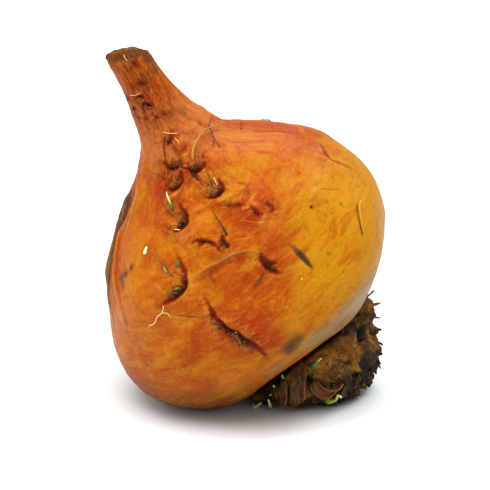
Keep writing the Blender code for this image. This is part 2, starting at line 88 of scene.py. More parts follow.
def spreadOut(curve, count, weight=None):
    # the curve as count + 1 points, closer together where the weight is high
    length = np.linalg.norm(np.diff(curve, axis=0), axis=1)
    if weight is not None:
        length = length * weight(0.5 * (curve[1:] + curve[:-1]))
    reach = np.concatenate([[0.0], np.cumsum(length)])
    target = np.linspace(0.0, reach[-1], count + 1)
    return np.stack([np.interp(target, reach, column) for column in curve.T], axis=1)


def softLine(rows, count):
    return spreadOut(curveThrough(rows), count)


inHand = {}      # the node tree that the helpers below add to


def addNode(kind, settings=None, links=None):
    # settings are properties of the node or plain values of its inputs
    tree = inHand["tree"]
    node = tree.nodes.new(kind)
    for key, value in (settings or {}).items():
        if isinstance(key, int) or key in node.inputs:
            node.inputs[key].default_value = value
        else:
            setattr(node, key, value)
    for key, source in (links or {}).items():
        tree.links.new(source, node.inputs[key])
    return node


def newMaterial(name, values):
    # makes the material the one in hand, and gives its shader
    material = bpy.data.materials.new(name)
    material.use_nodes = True
    inHand["tree"] = material.node_tree
    shader = material.node_tree.nodes["Principled BSDF"]
    for key, value in values.items():
        shader.inputs[key].default_value = value
    return shader


def feed(socket, source):
    inHand["tree"].links.new(source, socket)


def layerOf(name, kind="Fac"):
    return addNode("ShaderNodeAttribute", {"attribute_name": name}).outputs[kind]


def noiseOf(vector, scale, detail=3.0, rough=0.55, distortion=0.0):
    # the scale is in features per millimetre where the vector is in millimetres
    settings = {"Scale": scale, "Detail": detail, "Roughness": rough, "Distortion": distortion}
    return addNode("ShaderNodeTexNoise", settings, {"Vector": vector}).outputs["Fac"]


def scaled(vector, scale):
    return addNode("ShaderNodeMapping", {"Scale": scale}, {"Vector": vector}).outputs[0]


def ranged(value, low, high, first=0.0, last=1.0):
    settings = {"interpolation_type": "SMOOTHSTEP", 1: low, 2: high, 3: first, 4: last}
    return addNode("ShaderNodeMapRange", settings, {0: value}).outputs[0]


def fromParts(kind, settings, parts, output=0):
    # each numbered input gets a plain value, a hex colour or another node's output
    links = {}
    for index, value in parts.items():
        if isinstance(value, str):
            settings[index] = linearColour(value)
        elif isinstance(value, (int, float)):
            settings[index] = value
        else:
            links[index] = value
    return addNode(kind, settings, links).outputs[output]


def mathOf(operation, *values):
    return fromParts("ShaderNodeMath", {"operation": operation}, dict(enumerate(values)))


def times(first, *others):
    for other in others:
        first = mathOf("MULTIPLY", first, other)
    return first


def mixed(share, first, last):
    settings = {"data_type": "RGBA", "blend_type": "MIX"}
    return fromParts("ShaderNodeMix", settings, {0: share, 6: first, 7: last}, 2)


def rampOf(value, first, last, stops):
    ramp = addNode("ShaderNodeValToRGB", {}, {0: value})
    for place, tint in stops:
        ramp.color_ramp.elements.new(place).color = linearColour(tint)
    ramp.color_ramp.elements[0].color = linearColour(first)
    ramp.color_ramp.elements[-1].color = linearColour(last)
    return ramp.outputs[0]


def bumped(height, strength, distance):
    settings = {"Strength": strength, "Distance": distance}
    return addNode("ShaderNodeBump", settings, {"Height": height}).outputs[0]


def meshOf(name, points, faces):
    mesh = bpy.data.meshes.new(name)
    mesh.from_pydata(np.asarray(points).tolist(), [], faces)
    return mesh


def gridFaces(rows, columns, first=0):
    # the faces of a sheet whose points were added row by row
    starts = range(first, first + rows * (columns + 1), columns + 1)
    return [(low, low + 1, low + columns + 2, low + columns + 1)
            for start in starts for low in range(start, start + columns)]


def paint(mesh, **layers):
    for name, values in layers.items():
        layer = mesh.attributes.new(name, "FLOAT", "POINT")
        layer.data.foreach_set("value", np.asarray(values, np.float32))


def addObject(name, data):
    added = bpy.data.objects.new(name, data)
    bpy.context.scene.collection.objects.link(added)
    return added


def addPiece(name, mesh, materialName, slotName, *nodes, shell=0, soft=False):
    # an object of the scene that rides on the root; shell is its thickness in mm where it is a sheet
    piece = addObject(name, mesh)
    if shell:
        thickness = piece.modifiers.new("thickness", "SOLIDIFY")
        thickness.thickness = shell * mm
        thickness.offset = 0.0
    if soft:
        rounding = piece.modifiers.new("soft", "SUBSURF")
        rounding.levels = rounding.render_levels = 1
    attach(piece, "root")
    if nodes:
        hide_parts(*nodes)
    mesh.materials.append(bpy.data.materials[materialName])
    mesh.shade_smooth()


# How the beetroot lies: leaned over, turned a little, and let 0.5 mm into the table where it gives

lying = {"lean": 36.7, "heading": 20.8, "letIn": 0.5, "middle": (0.271, -0.229)}


# The root's form

rootForm = {
    "outline": [
        (-25, 0), (-25, 9), (-25.3, 17), (-24, 25.5), (-20.5, 32), (-12, 40.2), (-4, 43.8), (4, 43.3),
        (12, 40.1), (19, 36.5), (26, 29.7), (32, 22.5), (37, 15.6), (42, 11.3), (48, 8.2), (56, 6.5),
        (63, 5.5), (67, 5), (68.2, 3.8), (67.8, 0),
    ],
    "wander": [
        (-26, -5), (-12, -2.1), (0, -0.4), (12, 1.3), (24, 1.6), (34, 2.6), (44, 6.3), (56, 7.6), (68, 9.2),
    ],
    "raised": (-10, 62, 3.8),      # middle, reach and height of the shoulder drawn up over the crown
    "slant": 0.62,                 # how far the snapped end is out of square
    # waves round, degrees of a crest, height, middle along, reach along
    "swellings": [
        (2, 20, 0.5, 0, 30), (3, -50, 0.7, 10, 24), (5, 15, 0.4, 18, 16), (4, 100, 0.6, -12, 20),
        (9, 35, 0.3, 38, 13),
    ],
    "meridians": 392, "rings": 248,
    "crowding": 0.42,      # how much closer the meridians stand on the seen side
    "closeness": [(-25, 0.35), (-20, 0.9), (0, 1.1), (6, 1.5), (50, 1.5), (68, 1.2)],      # of the rings
    "meanRadius": 40.0,      # the skin's patterns are laid on a cylinder this wide
    "pitDepth": 0.52,      # all pits' depths are multiplied by this
    "pleatReach": 4.0,      # how far past a pit the folds round it are felt
    "leastRadius": 8.0,      # on the thin tail, degrees are turned into millimetres as if it were this wide
    # unevenness of the skin: height, size, shift and stretch of the pattern, and where along it fades in
    "unevenness": [
        (0.7, 26.0, 0.0, (1, 1, 1), (-99, -98)), (0.35, 11.0, 0.0, (1, 1, 1), (-99, -98)),
        (0.10, 1.9, 0.0, (0.3, 0.3, 1), (-26, -18)), (0.16, 5.5, 3.0, (1, 1, 1), (-26, -18)),
        (0.22, 2.4, 7.0, (1, 1, 0.12), (22, 40)),
    ],
}


def outwardOf(around):
    angle = np.radians(around)
    return np.stack([np.sin(angle), -np.cos(angle), np.zeros_like(angle)], axis=-1)


def shoulderLift(around):
    middle, reach, height = rootForm["raised"]
    return height * smoothStep(reach, 0.0, turnedBy(around, middle))


def rootSpots(around, along, radius):
    around, along, radius = (np.asarray(values, float) for values in (around, along, radius))
    swell = sum(
        height * smoothStep(reach, 0.0, np.abs(along - middle)) * np.cos(waves * np.radians(around - crest))
        for waves, crest, height, middle, reach in rootForm["swellings"]
    )
    radius = np.maximum(radius + swell * np.where(along < 0, smoothStep(0.0, 20.0, radius), 1.0), 0.0)
    spots = outwardOf(around) * radius[..., None]
    lift = shoulderLift(around) * smoothStep(12, 19, radius) * smoothStep(-6, -20, along)
    slant = rootForm["slant"] * spots[..., 0] * smoothStep(60.0, 68.2, along)
    spots[..., 0] += np.interp(along, *np.array(rootForm["wander"], float).T)
    spots[..., 2] = along + lift - slant
    return spots


rootSide = curveThrough([row for row in rootForm["outline"] if -21 < row[0] < 68.1])


def rootAt(around, along):
    along = np.asarray(along, float)
    return rootSpots(around, along, np.interp(along, rootSide[:, 0], rootSide[:, 1]))


def degreeMm(along):
    # millimetres of skin to one degree round
    radius = float(np.interp(along, rootSide[:, 0], rootSide[:, 1]))
    return max(rootForm["leastRadius"], radius) * math.pi / 180


def rootWays(around, along):
    # the ways round the root, up it and out of it, at a place on its side
    around, along = np.asarray(around, float), np.asarray(along, float)
    sideways = unit(rootAt(around + 1.0, along) - rootAt(around - 1.0, along))
    up = unit(rootAt(around, along + 0.5) - rootAt(around, along - 0.5))
    out = unit(np.cross(sideways, up))
    return sideways, unit(np.cross(out, sideways)), out


# What the skin shows close up. Places are (degrees round from the pitted side, millimetres along)

skinMarks = {
    # depth, reach of the gentle side, darkness of the painted shade and red-brown stain, how many hairs and
    # how long, and the foot of the steep wall, which stands on the left of the line's way
    "clefts": [
        (0.6, 1.4, 0.8, 6, 3.2, [(-16, 46.2), (-19, 45.3), (-23.7, 44.7), (-30.5, 44.6)]),
        (1, 1.6, 0.9, 9, 3.4, [(-15.5, 41.2), (-17.5, 39.8), (-21.2, 39), (-31, 39.8), (-37.5, 41.2)]),
        (1.1, 1.8, 1, 12, 3.6, [(8, 38.2), (5.9, 36.6), (2.3, 36), (-5.8, 36.7), (-14.9, 38.6)]),
        (1.2, 1.9, 1, 12, 4, [(-17.8, 38.6), (-19.3, 37.1), (-22.3, 36.1), (-30.4, 35.9), (-37.4, 37.3)]),
        (1.3, 2, 1, 13, 4, [(6, 32.6), (4.3, 31.3), (1.7, 30.6), (-3, 30.3), (-8.1, 31.8)]),
        (0.5, 1.3, 0.8, 3, 3, [(-12, 38.6), (-8, 36.1), (-5.6, 33.6)]),
        (1.5, 1.9, 1, 15, 4.2, [
            (-28.5, 33.6), (-26.2, 31.8), (-24.8, 30.2), (-27, 29.3), (-31, 29.2), (-36, 29.2)]),
        (0.5, 1.4, 0.9, 2, 2, [(-27.4, 25.6), (-21.8, 24.9), (-17.9, 23.3), (-15.8, 20.8)]),
        (0.8, 1.3, 0.8, 5, 3, [(-11.8, 24.4), (-12.7, 22.8), (-13.2, 21.4), (-11.2, 20.9)]),
        (2, 2.5, 1, 17, 4.2, [
            (-35.6, 24.4), (-34.8, 22.2), (-35.2, 20.2), (-37.2, 18.8), (-42.3, 17.9), (-48.5, 17.7)]),
        (0.3, 1.3, 0.45, 0, 0, [(-24.2, 18.6), (-25.2, 17.4), (-24.8, 16.2)]),
        (0.5, 1.4, 0.6, 2, 2, [(-3.5, 28), (-0.9, 27.4), (2.7, 26.4), (6.6, 24.8)]),
        (1.1, 1.4, 0.8, 4, 2, [(7, 25.2), (6.4, 23.6), (5.9, 22.4), (8.3, 21.7)]),
        (0.5, 0.8, 0.7, 3, 1.2, [(11.6, 23.2), (13.4, 22.2), (12.6, 21.2), (9.6, 21.3)]),
        (1.6, 2, 1, 9, 2.6, [(-1.9, 9.8), (-3.6, 11.2), (-4.5, 12.7), (-4.1, 14.6), (-2.9, 15.9)]),
        (1.9, 2.2, 1, 52, 4.4, [
            (-30.9, 14.6), (-30.8, 11.6), (-29.6, 8.6), (-27.4, 5.4), (-24.6, 2.7), (-22.4, -0.4),
            (-21, -3.2), (-20.2, -5)]),
        (0.2, 1.3, 0.6, 2, 1.5, [(-19, 66.3), (-12, 65.3), (-6, 63.7)]),
        (0.25, 1.8, 0.5, 0, 0, [(-33, 61.2), (-18, 60.6), (-3, 59.4)]),
        (0.5, 1, 0.95, 7, 2.2, [(-47, 58.5), (-38, 57.9), (-29, 57)]),
        (0.5, 1, 0.95, 9, 2.2, [(-43, 56.1), (-31, 55.1), (-19, 53.6)]),
        (0.15, 0.7, 0.7, 1, 1, [(-70, 53.9), (-66, 53.4), (-62, 53.2)]),
        (0.15, 0.7, 0.6, 0, 0, [(-52, 52.6), (-49, 52.2), (-46, 51.9)]),
        (0.2, 0.8, 0.7, 1, 1, [(-27, 51.9), (-24, 51.2), (-21.5, 50.7)]),
        (0.2, 0.8, 0.7, 2, 1.5, [(-14, 51.4), (-7, 50.9), (-0.5, 50.1)]),
        (0.3, 1, 0.8, 4, 1.6, [(-88, 59.6), (-85, 58.8), (-82, 58)]),
        (0.3, 1, 0.7, 4, 1.6, [(-74, 56.6), (-70, 55.8), (-66, 55)]),
    ],
    # pits of the far side: round, along, size, depth
    "farPits": [
        (172, 44, 2, 1), (196, 39, 2.2, 1.2), (160, 36, 2.4, 1.3), (186, 30, 3, 1.7), (150, 27, 2.4, 1.2),
        (205, 24, 3, 1.5), (170, 19, 3.6, 2), (193, 12, 3, 1.4), (155, 9, 2.8, 1.3), (-120, 10, 2.2, 0.6),
        (96, 28, 2, 0.6),
    ],
    # round, along, radius, strength
    "specks": [
        (24, 15.3, 0.45, 0.5), (38, 23.9, 0.3, 0.2), (36.4, 23.3, 0.35, 0.2), (39, 22.6, 0.25, 0.2),
        (25.7, 18.4, 0.3, 0.2), (25.9, 17.2, 0.3, 0.2), (24.6, 13.4, 0.3, 0.2), (25.6, 12.3, 0.4, 0.2),
        (25.2, 11.4, 0.3, 0.2), (29.4, 16.2, 0.25, 0.2), (20.2, 17, 0.25, 0.4), (31, 13.5, 0.25, 0.4),
        (28, 10.6, 0.3, 0.3), (33, 18, 0.25, 0.4), (-55, 20, 0.3, 0.4), (-20, 9, 0.3, 0.4),
        (14, 3, 0.3, 0.5), (-31, -6, 0.4, 0.5), (48, 8, 0.3, 0.4), (60, -2, 0.4, 0.4), (-62, 2, 0.35, 0.4),
        (-45, 46, 0.4, 0.6), (-50, 42, 0.3, 0.6), (44, 16, 0.3, 0.4), (52, 12, 0.3, 0.4),
    ],
    "lens": [(7.0, 14.8), (7.5, 11.7), (8.1, 9.2), (8.7, 5.2)],
    # height, half width, dark line of painted shade, pale crest of painted highlight, then the line
    "folds": [
        (-0.5, 2.4, 0.12, 0, [(-22, 32.4), (-12, 31.6), (-1, 30.4), (12, 29.6), (25, 30.4)]),
        (-0.35, 1.8, 0.15, 0, [(-32, 18.4), (-24, 18.9), (-16, 18.4), (-9, 17), (-6, 15.2)]),
        (0.3, 1.8, 0, 0, [(-27, 23.6), (-21, 22.9), (-17, 20.9), (-13, 20.2)]),
        (0.15, 1.5, 0, 0.35, [(-2, 24.3), (2.4, 22.1), (5.2, 20.6), (8.6, 19.5)]),
        (-0.2, 1.5, 0.4, 0, [(0.5, 23.4), (2.4, 22.6), (5.2, 21.2), (8.6, 20.1)]),
        (-0.4, 1.5, 0.45, 0, [(66, 20), (55, 17), (56, 13.9), (57, 11.5), (58, 9)]),
        (0.2, 2, 0, 0.2, [(51, 23.5), (52, 20), (54, 16.5), (60, 13)]),
        (-0.4, 1, 0, 0, [(7, 13.2), (7.3, 10.5), (7.9, 8), (8.4, 4.3)]),
        (-1.6, 4.5, 0, 0, [(-97, 39), (-97, 35), (-103, 31), (-107, 26), (-109, 20), (-112, 12)]),
        (0.7, 1.6, 0, 1, [
            (-101, 36), (-99, 33), (-91.4, 30), (-88, 26.7), (-84, 23), (-79.6, 20.4), (-76.3, 17.5),
            (-75, 12.8)]),
        (-0.3, 1.5, 0.8, 0, [
            (-108, 37), (-104, 33), (-97, 29.6), (-93.5, 26), (-90, 22.4), (-86, 19.4), (-83, 16)]),
        (0.2, 1.4, 0, 0.5, [(-111, 35), (-106, 30), (-101, 25.5), (-97, 21), (-93, 17)]),
        (-0.2, 1.4, 0.9, 0, [(-118, 35), (-112, 29), (-107, 24), (-103, 19), (-100, 15)]),
        (-1, 2.4, 0.3, 0, [(140, 32), (165, 30.5), (185, 29), (210, 30)]),
        (-2.2, 3.2, 0.6, 0, [(160, 16), (170, 12), (180, 6), (186, 0)]),
        (0.8, 2.4, 0, 0.6, [(150, 20), (175, 21.5), (200, 18), (208, 13)]),
        (0, 1, 0.6, 0, [(-46, 14.4), (-39.6, 12.8), (-33.5, 10.4)]),
        (-0.3, 1.5, 0.2, 0, [(-45, 31.5), (-38, 30.2), (-31, 28.2)]),
        (0.25, 1.8, 0, 0.15, [(-9, 34.6), (0, 34.4), (8, 34.4)]),
        (0.25, 1.6, 0, 0.15, [(-38, 35), (-31, 34.6), (-25, 34.6)]),
        (0.1, 1.4, 0, 0.3, [(-8.8, 21.4), (-3.1, 19.8), (-1.4, 18)]),
        (-0.3, 1.8, 0.2, 0, [(-20, 42.5), (-8, 41.5), (4, 41.8)]),
        (0.25, 2.2, 0, 0.2, [(-14, 40), (-4, 40.2), (6, 41), (14, 43)]),
        (-0.3, 1.6, 0.3, 0, [(12, 52), (26, 46), (40, 41), (52, 37)]),
        (0.2, 1.6, 0, 0.4, [(24, 52), (36, 46), (50, 40), (60, 36)]),
        (0.1, 1.2, 0, 0.7, [(53, 55), (44, 51.5), (46, 48.5), (50, 46), (57, 41.5)]),
        (0.2, 1.4, 0, 0.35, [(6, 46.6), (14, 44), (24, 43.6), (34, 44.4)]),
        (-0.2, 1.4, 0.25, 0, [(2, 45.2), (10, 42.2), (20, 40.6)]),
        (-0.3, 1.6, 0.3, 0, [(36, 38), (46, 33), (54, 29)]),
        (0.2, 1.5, 0, 0.3, [(30, 35), (42, 30), (52, 24)]),
        (-0.25, 1.5, 0.25, 0, [(60, 34), (66, 29), (70, 24)]),
        (0.15, 1.4, 0, 0.25, [(44, 41), (56, 34), (64, 27), (70, 20)]),
        (0, 0.9, 0.35, 0, [(33, 16.4), (36, 14.6), (39, 12), (39.5, 10)]),
        (0, 0.8, 0.5, 0, [(-72, 19.4), (-73.4, 14.9), (-75.2, 10.9)]),
    ],
    # height, gentle side, steep side, dark line of painted shade under the steep side, pale crest of painted
    # highlight, then the line: the steep side faces the crown
    "ledges": [
        (0.32, 5, 0.8, 0.1, 0.9, [
            (-33.7, 19.8), (-25.4, 20), (-18.9, 19.7), (-12.4, 19.3), (-9.2, 18.8), (-6.2, 17.9),
            (-4.4, 16.7), (-3.6, 15.2), (-4.2, 13.6)]),
        (0.35, 4, 0.9, 0.25, 0.3, [(-22, 30.6), (-11, 29.9), (1, 28.6), (12, 28), (24, 29.4)]),
        (0.22, 4, 0.9, 0.15, 0.2, [(-46, 33), (-38, 29.6), (-29, 28.4), (-20, 29)]),
    ],
    # regions of tone: round, along, reach in mm, strength
    "gold": [
        (36, 2, 21, 0.9), (50, -4, 16, 0.7), (14, -2, 14, 0.6), (30, 14, 11, 0.45), (35, 30, 7, 0.4),
        (22, 36, 5, 0.3), (17, 30.5, 5, 0.45), (4, 28.5, 4, 0.5), (-66, 27, 7, 0.5), (-55, 31, 7, 0.3),
        (-60, 12, 6, 0.4), (-48, 1, 8, 0.3), (-70, 8, 8, 0.3), (-41, -15, 7, 0.7), (-25, 21, 5, 0.4),
        (-8, 24, 4, 0.4), (-14, 0, 8, 0.3), (-8, -6, 8, 0.5), (-4, 20, 4, 0.3), (120, 0, 24, 0.7),
        (-150, 8, 24, 0.6), (80, 4, 18, 0.6),
    ],
    "blush": [
        (10, 56, 14, 0.45), (-30, 46, 12, 0.5), (60, 36, 10, 0.7), (75, 26, 14, 0.6), (52, 25, 5, 0.5),
        (-36, 33, 10, 0.5), (-14, 9, 9, 0.75), (-22, 3, 8, 0.7), (-17, -3, 6, 0.7), (-32, 6, 7, 0.4),
        (1, 16, 6, 0.5), (8, 25, 6, 0.7), (6, 21, 6, 0.5), (-12, 17, 6, 0.5), (-20, 38, 9, 0.6),
        (-46, 10, 9, 0.3), (26, 25, 8, 0.35), (52, 19, 7, 0.5), (-100, 34, 12, 0.5), (175, 34, 24, 0.6),
        (180, 8, 14, 0.5), (-60, -6, 12, 0.35),
    ],
    "tan": [
        (45, -20, 15, 1), (20, -17, 11, 1), (0, -15, 8, 0.9), (-20, -17, 7, 0.7), (62, -10, 12, 0.6),
        (110, -20, 18, 0.9), (180, -21, 22, 0.9), (-120, -21, 22, 0.8), (44, 0, 5, 0.2), (-108, 6, 12, 0.5),
    ],
    # a pale pink painted sheen: painted highlight where the skin faces the light
    "rosy": [
        (38, 46, 9, 0.9), (30, 38, 8, 0.6), (42, 36, 7, 0.7), (50, 31.8, 7, 0.7), (55, 26, 9, 0.6),
        (52, 18, 7, 0.4), (-44, 44, 6, 0.5), (-90, 14, 10, 0.3), (-40, 52, 7, 0.3), (16, 27, 5, 0.35),
        (-60, 46, 7, 0.5), (-78, 8, 8, 0.2), (38, 20, 9, 0.3)],
    "bark": [
        (-110, 35, 5, 0.8), (-106, 30, 5, 1), (-101, 26, 4.5, 1), (-97, 21.5, 4, 1), (-96, 17, 4, 0.7),
        (-114, 26, 6, 1), (-110, 20, 5, 0.9), (-120, 31, 6, 0.8)],
    "bruise": [
        (46, 63, 1.8, 0.6), (41, 60.5, 1.6, 0.5), (24, 61.5, 1.8, 0.5), (-6, 60.4, 2.2, 0.5),
        (30, 47.5, 1.8, 0.5), (-12, -8, 3.6, 1), (-7, -7, 2.4, 0.6), (-9, -5, 2.4, 0.4),
        (-76, 23.6, 1.8, 0.8), (-71, 24.6, 1.8, 0.9), (-66, 25.6, 1.6, 0.9), (-73, 22.4, 1.2, 0.7),
        (28, 14.5, 4.5, 0.4), (22, 17.5, 3.5, 0.35), (31, 48.8, 2.2, 0.4), (5.7, 47.8, 2.6, 0.4),
        (-28, 61, 4, 0.35), (-10, 58, 3, 0.3), (40, 12, 5, 0.3), (150, -6, 5, 0.5)],
}


farOff = 99.0      # stands for any distance too great to matter
markReach = 9.0      # no mark is felt further from its line than this


def layLine(rows, count=40):
    # a line over the skin, and at each of its points the way to its tail side
    around, along = softLine(rows, count).T
    points = rootAt(around, along)
    return points, unit(np.cross(rootWays(around, along)[2], np.gradient(points, axis=0)))


def nearest(points, line):
    # the distance to a line, below zero on its crown side, and the share of the line where it is nearest
    spots, tailward = line
    away = np.full(len(points), farOff)
    share = np.zeros(len(points))
    middle = spots.mean(axis=0)
    reach = np.linalg.norm(spots - middle, axis=1).max() + markReach
    close = np.where(np.linalg.norm(points - middle, axis=1) < reach)[0]
    if len(close):
        offset = points[close, None, :] - spots[None, :, :]
        gaps = np.linalg.norm(offset, axis=2)
        near = gaps.argmin(axis=1)
        rows = np.arange(len(close))
        side = (offset[rows, near] * tailward[near]).sum(axis=1)
        away[close] = gaps[rows, near] * np.where(side < 0, -1.0, 1.0)
        share[close] = near / (len(spots) - 1)
    return away, share


def hookedLine(around, along, size):
    # the foot of a pit's wall, which hooks round its lower right
    degree = degreeMm(along)
    hook = ((0.2, 1.0), (0.8, 0.3), (0.6, -0.4), (-0.3, -0.6), (-1.1, -0.3))
    return [(around + size * x / degree, along + size * y) for x, y in hook]


for around, along, size, depth in skinMarks["farPits"]:
    line = hookedLine(around, along, size)
    skinMarks["clefts"].append((depth, 1.2 * size, 0.75, int(3 * size), 1.5 * size, line))
# each pit's puckers start 9 mm further on in their pattern, so that no two pits have the same ones
cleftLines = [(*row[:3], 9.0 * number, layLine(row[-1])) for number, row in enumerate(skinMarks["clefts"])]
foldLines = [(*row[:-1], layLine(row[-1])) for row in skinMarks["folds"]]
ledgeLines = [(*row[:-1], layLine(row[-1])) for row in skinMarks["ledges"]]


def drawLine(marks, name, away, strength):
    # a line too thin for the mesh: the signed distance to it, and its strength, for the shader to draw
    closer = np.abs(away) < np.abs(marks[name + "Gap"])
    marks[name + "Gap"][closer] = away[closer]
    marks[name + "Share"][closer] = (strength * smoothStep(1.5, 0.9, np.abs(away)))[closer]


# keeps the strongest of a mark: pitRed is red-brown stain with painted shade, pitDark is painted shade
def stainAndShade(marks, name, strength):
    marks[name] = np.maximum(marks[name], strength)


def reliefOf(points, along, marks=None):
    # how far the skin stands proud, and with marks also the stains, painted shade and painted highlight lines
    # laid on it
    relief = sum(
        height * lumps(points, size, shift, stretch) * smoothStep(*fade, along)
        for height, size, shift, stretch, fade in rootForm["unevenness"])
    pitted = np.minimum(sum(
        min(1.0, depth) * np.exp(
            -(np.linalg.norm(points - line[0].mean(axis=0), axis=1) / (reach + rootForm["pleatReach"])) ** 2)
        for depth, reach, dark, start, line in cleftLines), 1.0)
    # sharp-edged folds, stronger near the pits
    broad = (0.35 - np.abs(lumps(points, 4.2, 13.0, (0.6, 0.6, 1)))) * (0.12 + 0.30 * pitted)
    narrow = (0.4 - np.abs(lumps(points, 1.7, 17.0, (0.25, 0.25, 1)))) * (0.05 + 0.12 * pitted)
    relief = relief + (broad + narrow) * smoothStep(-24, -18, along)
    ragged, rough = lumps(points, 1.3, 2.0), lumps(points, 2.8, 23.0)
    for depth, reach, dark, start, line in cleftLines:
        away, share = nearest(points, line)
        away = away + np.where(np.abs(away) < farOff, 0.35 * ragged + 0.5 * rough, 0.0)
        ends = np.sin(math.pi * np.clip(0.05 + 0.9 * share, 0, 1))
        gentle = np.maximum(1.0 + away / (1.7 * reach * ends ** 1.4 + 0.1), 0.0) ** 2.3
        wall = smoothStep(1.5, 0.0, away)
        shape = np.where(np.abs(away) < farOff, ends ** 0.8 * np.where(away > 0, wall, gentle), 0.0)
        relief = relief - rootForm["pitDepth"] * depth * shape
        if marks is not None:
            # painted shade at the foot of the wall, and red-brown stain with painted shade over the pit
            stainAndShade(marks, "pitDark", dark * smoothStep(0.36, 1.0, shape + 0.35 * ragged))
            edge = shape + 0.25 * ragged + 0.15 * rough
            stainAndShade(marks, "pitRed", 0.95 * dark * smoothStep(0.02, 0.5, edge))
            # which wall is nearest, where along it, and how much nearer than the next one
            closer = np.abs(away) < np.abs(marks["wallGap"])
            marks["wallSecond"] = np.where(
                closer, np.abs(marks["wallGap"]), np.minimum(marks["wallSecond"], np.abs(away)))
            marks["wallGap"][closer] = away[closer]
            run = np.linalg.norm(np.diff(line[0], axis=0), axis=1).sum()
            marks["wallRun"][closer] = (start + share * run)[closer]
    if marks is not None:
        marks["pleated"] = pitted
        marks["wallNear"] = smoothStep(3.4, 0.5, np.abs(marks["wallGap"])) * smoothStep(
            0.0, 1.5, marks.pop("wallSecond") - np.abs(marks["wallGap"]))
    for height, width, dark, pale, line in foldLines:
        away, share = nearest(points, line)
        ends = 1.0 - np.abs(2.0 * share - 1.0) ** 3
        relief = relief + height * smoothStep(width, 0.0, np.abs(away)) * ends
        if marks is not None:
            # a dark fold gets painted shade along it, a pale fold a painted highlight line
            stainAndShade(marks, "pitRed", 0.6 * dark * smoothStep(2.0, 0.3, np.abs(away)) * ends)
            drawLine(marks, "crease" if dark else "crest", away, max(dark, pale) * ends)
    for height, gentle, steep, dark, pale, line in ledgeLines:
        away, share = nearest(points, line)
        ends = 1.0 - np.abs(2.0 * share - 1.0) ** 3
        below = np.maximum(-away, 0.0)
        step = np.where(
            away >= 0, np.exp(-(away / gentle) ** 2),
            1.0 - 1.4 * smoothStep(0.0, steep, below) + 0.4 * smoothStep(steep, steep + gentle, below))
        relief = relief + np.where(np.abs(away) < farOff, height * step * ends, 0.0)
        if marks is not None:
            # painted shade under the ledge's steep side, and a painted highlight line along its edge
            stainAndShade(marks, "pitRed", 0.6 * dark * smoothStep(2.0, 0.3, np.abs(away + 0.7 * steep)) * ends)
            drawLine(marks, "crest", away, pale * ends)
    return relief


def laidDown(points):
    turned = Matrix.Rotation(math.radians(lying["heading"]), 3, "Z")
    leaned = Matrix.Rotation(-math.radians(lying["lean"]), 3, "Y")
    return points @ np.array(turned @ leaned).T


def setPoints(mesh, points):
    mesh.vertices.foreach_set("co", points.astype(np.float32).ravel())
    mesh.update()


def pointNormals(mesh):
    normals = np.empty(len(mesh.vertices) * 3)
    mesh.vertex_normals.foreach_get("vector", normals)
    return normals.reshape(-1, 3)


def turnedForm(name, form, spotsOf, weight):
    # the outline turned into a closed mesh, and of each of its points the place,
    # the angle round, the height, the radius and the number of its ring
    shape = bmesh.new()
    bmesh.ops.create_uvsphere(shape, u_segments=form["meridians"], v_segments=form["rings"], radius=1.0)
    mesh = bpy.data.meshes.new(name)
    shape.to_mesh(mesh)
    shape.free()
    spots = np.empty(len(mesh.vertices) * 3)
    mesh.vertices.foreach_get("co", spots)
    spots = spots.reshape(-1, 3)
    ring = np.rint(np.arccos(np.clip(-spots[:, 2], -1, 1)) / math.pi * form["rings"]).astype(int)
    angle = np.arctan2(spots[:, 0], -spots[:, 1])
    around = np.degrees(angle - form["crowding"] * np.sin(angle))
    along, radius = spreadOut(curveThrough(form["outline"]), form["rings"], weight)[ring].T
    radius = np.where((ring > 0) & (ring < form["rings"]), radius, 0.0)
    points = spotsOf(around, along, radius)
    setPoints(mesh, points)
    if (pointNormals(mesh) * outwardOf(around)).sum(axis=1).mean() < 0:
        mesh.flip_normals()
        mesh.update()
    return mesh, points, around, along, radius, ring


skinMesh, smooth, around, along, radius, ring = turnedForm(
    "beetSkin", rootForm, rootSpots,
    lambda row: np.interp(row[:, 0], *np.array(rootForm["closeness"], float).T))
tableDrop = -laidDown(smooth)[:, 2].min() - lying["letIn"]
print("root lies", round(tableDrop, 2), "mm up")


def toTable(points, give=0.0):
    # from the root's own frame to the table, in metres; what gives is pressed out softly below that height
    points = np.asarray(points, float)
    placed = laidDown(points) + np.array((*lying["middle"], tableDrop))
    height = placed[..., 2]
    if give:
        lump = lumps(points.reshape(-1, 3), 4.5).reshape(height.shape)
        height = np.where(height < give, give * np.exp(height / give - 1.0) + lump, height)
    placed[..., 2] = np.maximum(height, 0.0)
    return placed * mm


def heldUp(points, least):
    # no point keeps less height over the table than this
    points[:, 2] = np.maximum(points[:, 2], least)
    return points


def blurred(values, cells):
    # mean over this many cells each way: round the rings with a wrap, and along the meridians
    grid = values[gridOrder].reshape(rootForm["rings"] - 1, rootForm["meridians"])
    for axis, mode in ((1, "wrap"), (0, "edge")):
        padding = [(0, 0), (0, 0)]
        padding[axis] = (cells + 1, cells)
        total = np.cumsum(np.pad(grid, padding, mode=mode), axis=axis)
        size = grid.shape[axis]
        span = 2 * cells + 1
        grid = (np.take(total, range(span, span + size), axis) - np.take(total, range(size), axis)) / span
    smoothed = values.copy()
    smoothed[gridOrder] = grid.ravel()
    return smoothed


inner = np.where((ring > 0) & (ring < rootForm["rings"]))[0]
gridOrder = inner[np.lexsort((around[inner], ring[inner]))]
marks = {name: np.zeros(len(smooth)) for name in ("pitDark", "pitRed", "creaseShare", "crestShare")}
marks.update({name: np.full(len(smooth), 3.0) for name in ("creaseGap", "crestGap")})
